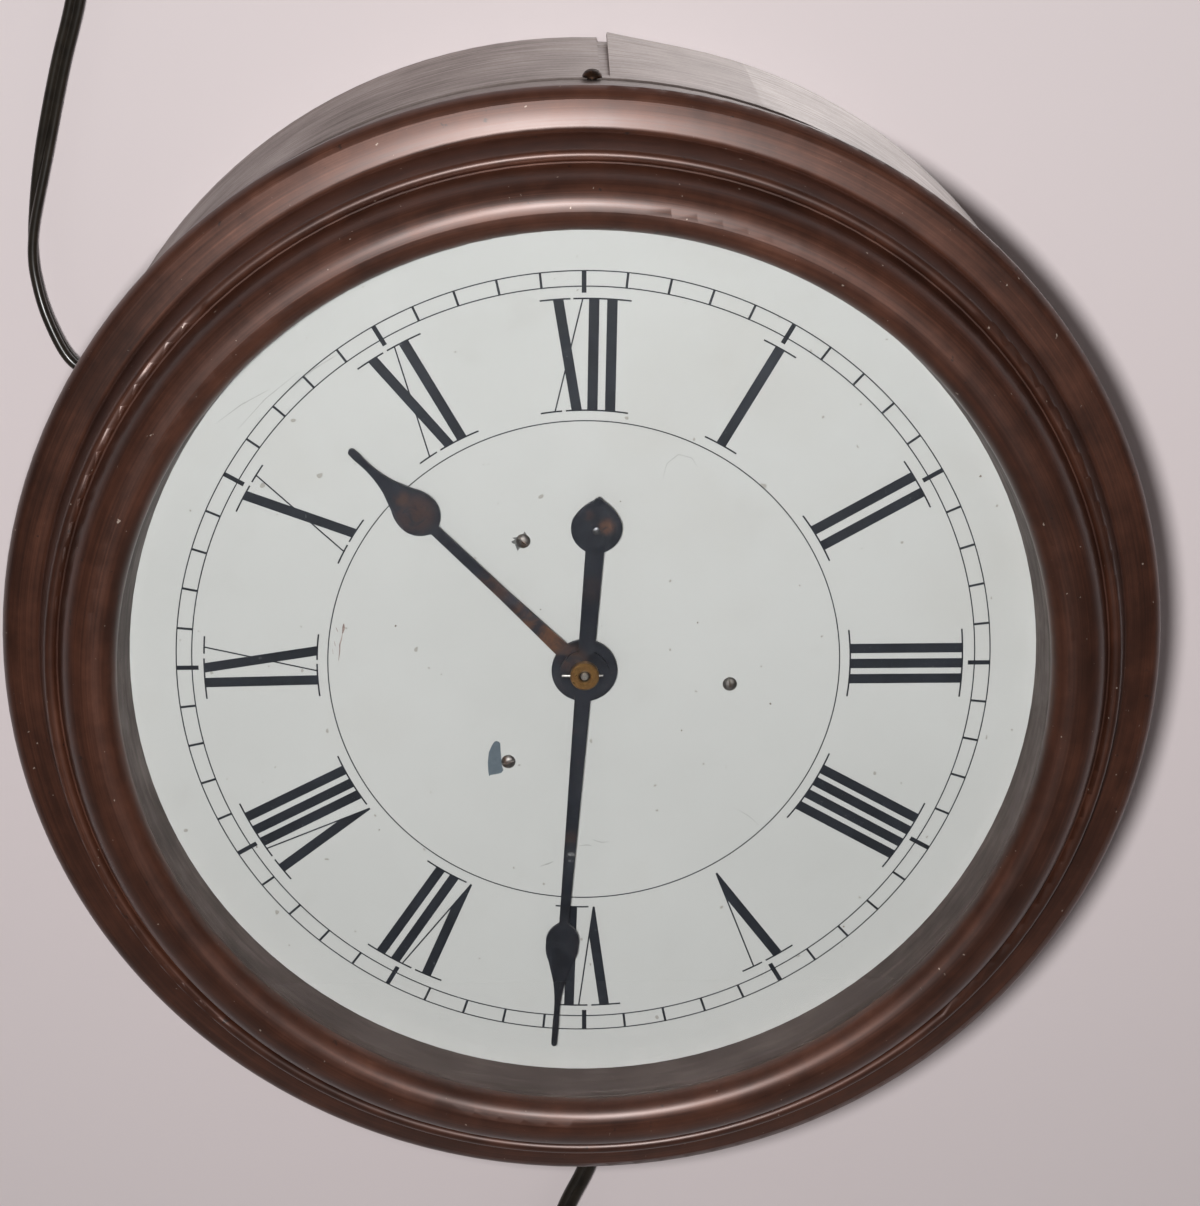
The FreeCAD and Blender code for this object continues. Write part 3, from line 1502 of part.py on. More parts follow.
def make_minute_hand():
    body = new_body("minute_hand")
    sketch = new_sketch(body, "XZ_Plane", "minute_outline", v.hand_thick - v.minute_rise)
    boss = v.minute_boss
    tip = v.minute_length
    blade = [
        (v.minute_root, boss_edge(boss, v.minute_root)),
        (1.6, tip - 47.0),
        (3.3, tip - 45.6, 7.0),
        (5.6, tip - 39.2, 12.0),
        (4.3, tip - 32.8),
        (2.1, tip - 25.0, -60.0),
        (1.05, tip - 9.4),
        (0.95, tip - 0.95, 1.0),
        (0, tip),
    ]
    end = v.tail_length
    tail = [
        (0, -end, 2.2),
        (1.5, 1.1 - end, 16.0),
        (8.0, 8.0 - end, 8.6),
        (6.6, 16.0 - end, 11.0),
        (3.05, 18.8 - end),
        (v.tail_root, -boss_edge(boss, v.tail_root), boss),
    ]
    trace(sketch, both_sides(tail + blade))
    ring(sketch, minute_seat + v.fit)
    ring(sketch, rivet_shank + v.fit, 0, -weight_centre)
    pad(body, sketch, v.hand_thick)
    place(body, 0, 0, 0, v.minute_turn)


def make_hand_fixings():
    """Collet and the taper pin through it."""
    bore = v.arbor_nose + v.fit
    back = -v.minute_rise - v.sheet_gap
    front = -v.collet_rise
    dish = 1.0
    edge = 0.5
    collet = turned(
        "hand_collet",
        [
            (bore, back),
            (bore, front + dish),
            (bore + dish, front),
            (v.collet_radius - edge, front),
            (v.collet_radius, front + edge),
            (v.collet_radius, back),
        ],
    )
    cut_pin_hole(collet, "collet_pin_hole")
    pin = new_body("taper_pin")
    sketch = new_sketch(pin, "XY_Plane", "taper_pin_profile")
    taper = 0.15
    outline = [
        (-v.pin_left, 0),
        (-v.pin_left, v.pin_radius - taper),
        (0.2 - v.pin_left, v.pin_radius),
        (v.pin_right, v.pin_radius - taper),
        (v.pin_right, 0),
    ]
    trace(sketch, outline)
    revolve(pin, sketch, "H_Axis")
    place(pin, 0, -pin_rise, 0)


def make_counterpoise():
    """Balance weight behind the minute hand's tail, with its rivet's head in front."""
    weight_front = v.hand_thick - v.minute_rise + v.fit
    head_back = -v.minute_rise - v.fit
    outline = [
        (0, weight_front + v.weight_thick),
        (v.weight_radius, weight_front + v.weight_thick),
        (v.weight_radius, weight_front),
        (rivet_shank, weight_front),
        (rivet_shank, head_back),
        (v.weight_rivet, head_back),
        (v.weight_rivet, head_back - RIVET_EDGE, -v.weight_rivet * 2),
        (0, head_back - RIVET_RISE),
    ]
    spot = around(weight_centre, v.minute_turn + 180)
    turned("counterpoise", outline, across=spot[0], up=spot[1], turn=v.minute_turn)


# Magnet, armature and pawls
def make_magnet():
    """Two coils on upright cores, under a yoke whose foot is screwed to the back plate."""
    yoke_high = yoke_low + v.yoke_thick
    core = box(0, v.pole_height, v.core_radius, yoke_high + v.core_end)
    bore = v.core_radius + v.sheet_gap
    tube_outer = bore + v.bobbin_wall
    rim = v.coil_radius + v.bobbin_rim
    flange = v.bobbin_flange
    bobbin = [
        (bore, coil_low),
        (rim, coil_low),
        (rim, coil_low + flange),
        (tube_outer, coil_low + flange),
        (tube_outer, coil_high - flange),
        (rim, coil_high - flange),
        (rim, coil_high),
        (bore, coil_high),
    ]
    room = flange + v.sheet_gap
    wound = box(tube_outer + v.sheet_gap, coil_low + room, v.coil_radius, coil_high - room)
    upright_pair("magnet_cores", core)
    upright_pair("coil_bobbins", bobbin)
    upright_pair("coil_windings", wound)
    yoke = new_body("magnet_yoke")
    depth = v.magnet_depth
    bar = new_sketch(yoke, "XZ_Plane", "yoke_bar", depth + v.yoke_width / 2)
    half = v.core_spacing / 2 + v.yoke_end
    trace(bar, box(-half, yoke_low, half, yoke_high))
    pad(yoke, bar, v.yoke_width)
    foot_back = back_inner - v.sheet_gap
    foot = new_sketch(yoke, "XZ_Plane", "yoke_foot", foot_back)
    half = v.yoke_foot / 2
    trace(foot, box(-half, yoke_low, half, yoke_high))
    pad(yoke, foot, foot_back - depth)
    holes = new_sketch(yoke, "XY_Plane", "yoke_holes")
    bind(holes, "AttachmentOffset.Base.z", (yoke_low - 1).text)
    for side in (-1, 1):
        ring(holes, v.core_radius + v.fit, side * v.core_spacing / 2, depth)
    pocket(yoke, holes, v.yoke_thick + 2, forward=True)
    place(yoke)
    head = v.stud_radius + v.rim_head
    seat = back_face + v.sheet_gap
    screw = plate_screw("yoke_screw_shape", seat, back_inner, head, v.head_thick, 1)
    spots = [(side * v.yoke_screw_spacing / 2, yoke_up, 0) for side in (-1, 1)]
    copies("yoke_screws", screw, spots)


def upright_pair(label, outline):
    """Two pieces turned about the upright axes of the magnet's cores."""
    shape = new_body(f"{label}_shape", keep=False)
    sketch = new_sketch(shape, "XZ_Plane", f"{label}_profile")
    trace(sketch, outline)
    revolve(shape, sketch)
    spots = [(side * v.core_spacing / 2, 0, 0) for side in (-1, 1)]
    copies(label, shape, spots, v.magnet_depth)


def make_armature():
    """Iron armature with its knuckle and the lug that carries the drive pawl."""
    body = new_body("armature")
    back = v.magnet_depth + v.armature_width / 2
    low = v.armature_low
    axis = (-v.armature_pivot, armature_axis_up)
    plate = new_sketch(body, "XZ_Plane", "armature_plate", back)
    trace(plate, box(-v.armature_pivot, low, v.armature_reach, low + v.armature_thick))
    pad(body, plate, v.armature_width)
    knuckle_back = back + v.knuckle_reach
    knuckle_front = back - v.armature_width - v.knuckle_reach
    knuckle = new_sketch(body, "XZ_Plane", "armature_knuckle", knuckle_back)
    ring(knuckle, v.knuckle_radius, *axis)
    pad(body, knuckle, knuckle_back - knuckle_front)
    lug_back = lug_front + v.lug_thick
    lug = new_sketch(body, "XZ_Plane", "armature_lug", lug_back)
    across, up = pawl_pivot
    half = v.lug_width / 2
    trace(lug, box(across - half, up - v.lug_drop, across + half, low + 1))
    pad(body, lug, v.lug_thick)
    shaft_hole = (v.armature_shaft + v.fit,) + axis
    drill(body, "armature_bore", knuckle_front, knuckle_back, [shaft_hole])
    pin_hole = new_sketch(body, "XZ_Plane", "armature_pin_bore", lug_front - 1)
    ring(pin_hole, v.pivot_radius + v.fit, across, up)
    pocket(body, pin_hole, v.lug_thick + 2)
    place(body)
    pivot_front = front_face + 0.6
    pivot_back = back_face - 0.6
    turned(
        "armature_arbor",
        [
            (0, pivot_front),
            (v.pivot_radius, pivot_front),
            (v.pivot_radius, front_inner + v.end_play),
            (v.armature_shaft, front_inner + v.end_play),
            (v.armature_shaft, back_inner - v.end_play),
            (v.pivot_radius, back_inner - v.end_play),
            (v.pivot_radius, pivot_back),
            (0, pivot_back),
        ],
        across=axis[0],
        up=axis[1],
    )
    head_back = ratchet_front - v.pawl_side_gap
    head_front = head_back - v.pin_head
    head = v.pivot_radius + 0.7
    turned(
        "drive_pawl_pin",
        [
            (0, head_front),
            (head, head_front),
            (head, head_back),
            (v.pivot_radius, head_back),
            (v.pivot_radius, lug_back),
            (0, lug_back),
        ],
        across=across,
        up=up,
    )
    edge = 0.4
    seat = back_inner - v.sheet_gap
    turned(
        "armature_stop",
        [
            (0, ratchet_front),
            (v.stop_width - edge, ratchet_front),
            (v.stop_width, ratchet_front + edge),
            (v.stop_width, seat),
            (v.stud_radius, seat),
            (v.stud_radius, back_face),
            (0, back_face),
        ],
        across=stop_spot[0],
        up=stop_spot[1],
    )


def pawl_outline(length, hub, width):
    """Straight pawl whose tip edge lies on the line from its pivot, along +X."""
    hub_edge = hub * 0.45
    join = square_root(hub * hub - hub_edge * hub_edge)
    return [
        (0, -hub, hub),
        (join, -hub_edge),
        (length * 0.55, -0.05),
        (length, 0),
        (length - 0.3, 1.0),
        (length / 2, width),
        (join, hub_edge, hub),
        (0, hub, hub),
        (-hub, 0, hub),
    ]


def make_pawl(label, length, hub, width, pivot, aim):
    """Gravity pawl on its pin, aimed along a direction in degrees."""
    body = new_body(label)
    sketch = new_sketch(body, "XZ_Plane", f"{label}_outline", v.ratchet_plane)
    trace(sketch, pawl_outline(length, hub, width))
    ring(sketch, v.pivot_radius + v.run)
    pad(body, sketch, v.ratchet_thick)
    place(body, pivot[0], 0, pivot[1], aim)


def make_pawls():
    drive_aim = 90 - v.pawl_angle
    click_aim = 90 - v.click_angle
    make_pawl("drive_pawl", v.pawl_length, v.pawl_hub, v.pawl_width, pawl_pivot, drive_aim)
    make_pawl("stop_click", v.click_length, v.click_hub, v.click_width, click_pivot, click_aim)
    head_back = ratchet_front - v.pawl_side_gap
    head_front = head_back - v.pin_head
    head = v.pivot_radius + 0.8
    collar_front = v.ratchet_plane + v.pawl_side_gap
    seat = back_inner - v.sheet_gap
    turned(
        "stop_click_pin",
        [
            (0, head_front),
            (head, head_front),
            (head, head_back),
            (v.pivot_radius, head_back),
            (v.pivot_radius, collar_front),
            (v.click_collar, collar_front),
            (v.click_collar, seat),
            (v.stud_radius, seat),
            (v.stud_radius, back_face),
            (0, back_face),
        ],
        across=click_pivot[0],
        up=click_pivot[1],
    )


def make_terminals():
    """Insulating block on the back plate, where cords and coils meet."""
    block = new_body("terminal_block")
    front = back_face + v.sheet_gap
    block_back = front + v.terminal_deep
    up = v.terminal_up
    half_width = v.terminal_width / 2
    half_height = v.terminal_height / 2
    sketch = new_sketch(block, "XZ_Plane", "terminal_outline", block_back)
    trace(sketch, box(-half_width, up - half_height, half_width, up + half_height))
    pad(block, sketch, v.terminal_deep)
    pegs = new_sketch(block, "XZ_Plane", "terminal_pegs", front + 1)
    for side in (-1, 1):
        ring(pegs, v.stud_radius, side * v.terminal_peg, up)
    pad(block, pegs, v.plate_thick + 1)
    place(block)
    head = v.terminal_head
    seat = block_back + v.sheet_gap
    face = seat + v.terminal_head_thick
    screw = turned(
        "terminal_screw_shape",
        [(0, seat), (head, seat), (head, face - v.head_edge), (head - v.head_edge, face), (0, face)],
        keep=False,
    )
    spots = [(v.terminal_pitch * step, up, 0) for step in (-1.5, -0.5, 0.5, 1.5)]
    copies("terminal_screws", screw, spots)


def make_glass():
    turned("glass", box(0, -v.glass_rise, v.glass_radius, -glass_back_rise))


def make_cords():
    routes = {
        "feed_cord": FEED_ROUTE,
        "link_cord": LINK_ROUTE,
        "feed_lead": FEED_LEAD,
        "link_lead": LINK_LEAD,
    }
    for label, route in routes.items():
        cord_piece(label, [cord_solid(label, route, v.cord_radius)])
    dial_face = -float(v.dial_depth)
    sides = [[(side * x, dial_face + deep, z) for x, deep, z in COIL_LEAD] for side in (1, -1)]
    solids = [cord_solid("coil lead", route, v.coil_lead_radius) for route in sides]
    cord_piece("coil_leads", solids)
    upper = make_connector("feed_connector", FEED_ROUTE, 1)
    lower = make_connector("link_connector", LINK_ROUTE, -1)
    make_connector_screws([upper, lower])


STEPS = [
    make_bezel,
    make_skirt,
    make_glass,
    make_sight_ring,
    make_dial,
    make_dial_frame,
    make_rim_fixings,
    make_drum,
    make_strap,
    make_back_pan,
    make_skirt_fixings,
    make_grommets,
    make_cords,
    make_plates,
    make_posts,
    make_pillars,
    make_ratchet,
    make_wheels,
    make_arbors,
    make_hour_hand,
    make_minute_hand,
    make_hand_fixings,
    make_counterpoise,
    make_magnet,
    make_armature,
    make_pawls,
    make_terminals,
]


def check():
    """Stops on any failed object or bad solid."""
    faults = [
        f"{item.Label}: {item.State}"
        for item in doc.Objects
        if "Invalid" in item.State or "Error" in item.State
    ]
    for item in subparts:
        shape = item.Shape
        if shape.isNull() or not shape.isValid() or not shape.Solids:
            faults.append(f"{item.Label}: bad shape")
    if faults:
        raise RuntimeError("\n".join(faults))


for step in STEPS:
    step()
    doc.recompute()
check()
os.makedirs("parts", exist_ok=True)
for item in subparts:
    item.Shape.exportStep(f"parts/{item.Label}.step")
print(f"{len(subparts)} sub-parts written")
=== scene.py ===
import math
import random

import bpy
from mathutils import Matrix, Vector


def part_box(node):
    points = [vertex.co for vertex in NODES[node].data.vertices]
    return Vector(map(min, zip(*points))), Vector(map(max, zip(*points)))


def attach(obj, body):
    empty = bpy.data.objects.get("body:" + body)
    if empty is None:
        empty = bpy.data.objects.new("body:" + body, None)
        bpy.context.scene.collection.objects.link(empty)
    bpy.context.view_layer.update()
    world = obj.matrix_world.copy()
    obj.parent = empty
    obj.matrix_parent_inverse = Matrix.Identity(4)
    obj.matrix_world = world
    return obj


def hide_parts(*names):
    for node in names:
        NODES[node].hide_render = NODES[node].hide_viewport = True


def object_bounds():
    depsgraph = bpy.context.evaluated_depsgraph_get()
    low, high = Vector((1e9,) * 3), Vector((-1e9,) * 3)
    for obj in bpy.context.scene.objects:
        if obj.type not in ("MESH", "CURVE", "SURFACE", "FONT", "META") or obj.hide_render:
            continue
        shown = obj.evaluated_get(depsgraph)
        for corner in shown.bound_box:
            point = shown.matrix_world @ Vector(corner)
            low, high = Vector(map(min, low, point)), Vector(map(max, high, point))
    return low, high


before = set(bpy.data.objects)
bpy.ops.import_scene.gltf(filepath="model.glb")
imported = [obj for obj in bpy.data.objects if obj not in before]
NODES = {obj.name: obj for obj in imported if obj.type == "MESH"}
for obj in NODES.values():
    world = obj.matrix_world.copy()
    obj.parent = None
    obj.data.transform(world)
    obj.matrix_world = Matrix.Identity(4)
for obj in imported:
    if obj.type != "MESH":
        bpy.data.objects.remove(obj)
cad_box = [list(corner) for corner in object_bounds()]

# Secondary dial of an electric master clock system, in metres
# +Z is up, the dial faces -Y and hangs on the wall plane Y = 0
MM = 0.001

# Front of the dial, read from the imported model
DIAL_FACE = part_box("dial")[0].y

# Camera where the photograph was taken from: metres, radians and millimetres of lens
CAMERA_SPOT = Vector((-0.01994, -1.23307, 0.43197))
CAMERA_AZIMUTH = 0.022987
CAMERA_ELEVATION = 0.357023
CAMERA_ROLL = 0.0016575
CAMERA_LENS = 104.8
SENSOR_HEIGHT = 36.0

# Cord routes, chosen along the photographed lines
FEED_ROUTE = [
    (-0.1722, -0.0180, 0.0671),
    (-0.1781, -0.0180, 0.0695),
    (-0.1833, -0.0170, 0.0739),
    (-0.1880, -0.0146, 0.0822),
    (-0.1927, -0.0114, 0.0940),
    (-0.1955, -0.0090, 0.1112),
    (-0.1915, -0.0080, 0.1360),
    (-0.1822, -0.0082, 0.1765),
    (-0.1760, -0.0088, 0.1965),
    (-0.1736, -0.0090, 0.2075),
    (-0.1736, -0.0090, 0.2145),
]
LINK_ROUTE = [
    (0.0100, -0.0180, -0.1846),
    (0.0107, -0.0180, -0.1980),
    (0.0119, -0.0150, -0.2170),
    (0.0099, -0.0106, -0.2390),
    (0.0044, -0.0084, -0.2620),
    (-0.0054, -0.0080, -0.2815),
    (-0.0085, -0.0090, -0.2942),
    (-0.0085, -0.0090, -0.3036),
]
FEED_LEAD = [
    (-0.17180, -0.0180, 0.06695),
    (-0.1588, -0.0183, 0.0616),
    (-0.1390, -0.0240, 0.0490),
    (-0.1100, -0.0400, 0.0250),
    (-0.0760, -0.0620, -0.0080),
    (-0.0440, -0.0745, -0.0290),
    (-0.0204, -0.0757, -0.0300),
]
LINK_LEAD = [
    (0.00998, -0.0180, -0.1843),
    (0.0093, -0.0186, -0.1715),
    (0.0070, -0.0270, -0.1500),
    (0.0030, -0.0460, -0.1180),
    (0.0045, -0.0630, -0.0840),
    (0.0080, -0.0740, -0.0540),
    (0.0080, -0.0757, -0.0374),
]
LOBE_RADIUS = 1.8 * MM
LOBE_SPREAD = 1.75 * MM
LOBE_SPREAD_IN_BUSH = 0.8 * MM
SPREAD_LENGTH = 12 * MM
LOBE_STEPS = 14
WIDEST_LOBE_TURN = math.radians(150)


# Camera
def make_camera():
    forward = Vector(
        (
            math.sin(CAMERA_AZIMUTH) * math.cos(CAMERA_ELEVATION),
            math.cos(CAMERA_AZIMUTH) * math.cos(CAMERA_ELEVATION),
            -math.sin(CAMERA_ELEVATION),
        )
    )
    level = forward.cross(Vector((0, 0, 1))).normalized()
    upright = level.cross(forward)
    right = math.cos(CAMERA_ROLL) * level + math.sin(CAMERA_ROLL) * upright
    up = math.cos(CAMERA_ROLL) * upright - math.sin(CAMERA_ROLL) * level
    data = bpy.data.cameras.new("camera")
    data.sensor_fit = "VERTICAL"
    data.sensor_height = SENSOR_HEIGHT
    data.lens = CAMERA_LENS
    data.clip_start = 0.01
    camera = bpy.data.objects.new("camera", data)
    bpy.context.scene.collection.objects.link(camera)
    axes = Matrix((right, up, -forward)).transposed().to_4x4()
    camera.matrix_world = Matrix.Translation(CAMERA_SPOT) @ axes
    bpy.context.scene.camera = camera


make_camera()


# Meshes
def new_piece(name, vertices, faces, body="case", smooth=False):
    """Mesh object from points in metres, riding on a body."""
    mesh = bpy.data.meshes.new(name)
    mesh.from_pydata([tuple(point) for point in vertices], [], faces)
    mesh.validate()
    if smooth:
        mesh.shade_smooth()
    piece = bpy.data.objects.new(name, mesh)
    bpy.context.scene.collection.objects.link(piece)
    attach(piece, body)
    return piece


def smooth_line(route):
    """Points read from the smooth curve that a route's points control."""
    curve = bpy.data.curves.new("route", "CURVE")
    curve.dimensions = "3D"
    curve.resolution_u = 16
    spline = curve.splines.new("NURBS")
    spline.points.add(len(route) - 1)
    for point, spot in zip(spline.points, route):
        point.co = (*spot, 1.0)
    spline.order_u = 3
    spline.use_endpoint_u = True
    carrier = bpy.data.objects.new("route", curve)
    bpy.context.scene.collection.objects.link(carrier)
    bpy.context.view_layer.update()
    line = bpy.data.meshes.new_from_object(carrier)
    spots = [vertex.co.copy() for vertex in line.vertices]
    bpy.data.objects.remove(carrier)
    bpy.data.meshes.remove(line)
    return spots


def blend_step(value, start, end):
    """Smooth step from 0 at start to 1 at end."""
    share = min(max((value - start) / (end - start), 0.0), 1.0)
    return share * share * (3 - 2 * share)


def twin_section(spread):
    """Outline of two round lobes side by side, as (across, up) points."""
    points = []
    for side in (1, -1):
        meet = math.acos(max(-1.0, -spread / LOBE_RADIUS)) if spread < LOBE_RADIUS else math.pi
        meet = min(meet, WIDEST_LOBE_TURN)
        for step in range(LOBE_STEPS + 1):
            angle = -meet + 2 * meet * step / LOBE_STEPS
            points.append(
                (
                    side * (spread + LOBE_RADIUS * math.cos(angle)),
                    side * LOBE_RADIUS * math.sin(angle),
                )
            )
    return points


def twin_cord(name, route, twist, spread_at):
    """Flat twin cord along a route; twist gives its turn about the line, in radians."""
    line = smooth_line(route)
    travelled = [0.0]
    for before, after in zip(line, line[1:]):
        travelled.append(travelled[-1] + (after - before).length)
    length = travelled[-1]
    rings = []
    reference = Vector((0, 1, 0))
    for index, spot in enumerate(line):
        before = line[max(index - 1, 0)]
        after = line[min(index + 1, len(line) - 1)]
        along = (after - before).normalized()
        across = along.cross(reference).normalized()
        thick = across.cross(along).normalized()
        turn = twist(spot)
        wide = math.cos(turn) * across + math.sin(turn) * thick
        high = math.cos(turn) * thick - math.sin(turn) * across
        section = twin_section(spread_at(travelled[index], length))
        rings.append([spot + wide * x + high * y for x, y in section])
    count = len(rings[0])
    vertices = [point for ring in rings for point in ring]
    faces = [tuple(reversed(range(count))), tuple(range(len(vertices) - count, len(vertices)))]
    for row in range(len(rings) - 1):
        for step in range(count):
            following = (step + 1) % count
            faces.append(
                (
                    (row + 1) * count + step,
                    (row + 1) * count + following,
                    row * count + following,
                    row * count + step,
                )
            )
    cord = new_piece(name, vertices, faces, smooth=True)
    return cord, line, length


def spread_from_bush(travelled, length):
    """Distance of each lobe from the middle; the lobes are squeezed where the cord leaves its bush."""
    grown = blend_step(travelled, 2 * MM, 2 * MM + SPREAD_LENGTH)
    return LOBE_SPREAD_IN_BUSH + (LOBE_SPREAD - LOBE_SPREAD_IN_BUSH) * grown


def spread_at_both_ends(travelled, length):
    return min(spread_from_bush(travelled, length), spread_from_bush(length - travelled, length))


def feed_twist(spot):
    """Flat to the wall at the top, on edge below the bend."""
    return math.radians(90) * (1 - blend_step(spot.z, 0.105, 0.165))


def link_twist(spot):
    return math.radians(90) * blend_step(spot.z, -0.26, -0.20)


def lead_twist(spot):
    return 0.0


def make_cords():
    made = []
    for name, route, twist, spread_at, far_end, nodes in (
        ("feed_cord_twin", FEED_ROUTE, feed_twist, spread_from_bush, "fitting", ["feed_connector"]),
        ("link_cord_twin", LINK_ROUTE, link_twist, spread_from_bush, "fitting", ["link_connector"]),
        ("feed_lead_twin", FEED_LEAD, lead_twist, spread_at_both_ends, "object", []),
        ("link_lead_twin", LINK_LEAD, lead_twist, spread_at_both_ends, "object", []),
    ):
        cord, line, length = twin_cord(name, route, twist, spread_at)
        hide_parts(name.replace("_twin", ""))
        made.append(cord)
    return made


cords = make_cords()


# Stage and light
WALL_COLOUR = (0.70, 0.625, 0.63)
FLOOR_COLOUR = (0.72, 0.70, 0.69)
FLOOR_HEIGHT = cad_box[0][2] - 1.2
WALL_PLACE = 0.4 * MM
STAGE_HALF = 3.0


def stage_material(name, colour, one_sided):
    """Plain paint; a one-sided one is clear from behind and lets lamps behind it through."""
    material = bpy.data.materials.new(name)
    material.use_nodes = True
    tree = material.node_tree
    shader = tree.nodes["Principled BSDF"]
    shader.inputs["Base Color"].default_value = (*colour, 1)
    shader.inputs["Roughness"].default_value = 0.9
    if one_sided:
        clear = tree.nodes.new("ShaderNodeBsdfTransparent")
        side = tree.nodes.new("ShaderNodeNewGeometry")
        path = tree.nodes.new("ShaderNodeLightPath")
        either = tree.nodes.new("ShaderNodeMath")
        either.operation = "MAXIMUM"
        mix = tree.nodes.new("ShaderNodeMixShader")
        tree.links.new(side.outputs["Backfacing"], either.inputs[0])
        tree.links.new(path.outputs["Is Shadow Ray"], either.inputs[1])
        tree.links.new(either.outputs[0], mix.inputs["Fac"])
        tree.links.new(shader.outputs["BSDF"], mix.inputs[1])
        tree.links.new(clear.outputs["BSDF"], mix.inputs[2])
        tree.links.new(mix.outputs["Shader"], tree.nodes["Material Output"].inputs["Surface"])
    return material


def stage_plane(name, corners, material):
    mesh = bpy.data.meshes.new(name)
    mesh.from_pydata(corners, [], [(0, 1, 2, 3)])
    mesh.materials.append(material)
    plane = bpy.data.objects.new(name, mesh)
    bpy.context.scene.collection.objects.link(plane)


def make_stage():
    reach = STAGE_HALF
    stage_plane(
        "wall",
        [
            (-reach, WALL_PLACE, FLOOR_HEIGHT),
            (reach, WALL_PLACE, FLOOR_HEIGHT),
            (reach, WALL_PLACE, reach),
            (-reach, WALL_PLACE, reach),
        ],
        stage_material("wall_paint", WALL_COLOUR, True),
    )
    stage_plane(
        "floor",
        [
            (-reach, -reach, FLOOR_HEIGHT),
            (reach, -reach, FLOOR_HEIGHT),
            (reach, reach, FLOOR_HEIGHT),
            (-reach, reach, FLOOR_HEIGHT),
        ],
        stage_material("floor_paint", FLOOR_COLOUR, False),
    )


# Lamps: name, place, size across, watts; the key stands just left of the lens, as a flash does
LAMPS = [
    ("key_lamp", (-0.060, -1.17, 0.385), 0.07, 12.8),
    ("fill_lamp", (-1.5, -1.6, 1.3), 1.4, 1.6),
    ("side_lamp", (1.7, -1.8, 0.5), 1.4, 0.9),
    ("rear_lamp", (0.8, 2.0, 0.9), 1.4, 24),
]
LAMP_TARGET = Vector((0, -0.07, 0))
WORLD_GREY = (0.075, 0.07, 0.07)


def make_lamps():
    for name, spot, size, watts in LAMPS:
        data = bpy.data.lights.new(name, "AREA")
        data.shape = "DISK"
        data.size = size
        data.energy = watts
        lamp = bpy.data.objects.new(name, data)
        lamp.location = spot
        lamp.rotation_euler = (LAMP_TARGET - Vector(spot)).to_track_quat("-Z", "Y").to_euler()
        bpy.context.scene.collection.objects.link(lamp)
    world = bpy.data.worlds.new("studio")
    world.use_nodes = True
    background = world.node_tree.nodes["Background"]
    background.inputs["Color"].default_value = (*WORLD_GREY, 1)
    bpy.context.scene.world = world


make_stage()
make_lamps()
bpy.context.scene.view_settings.view_transform = "Standard"


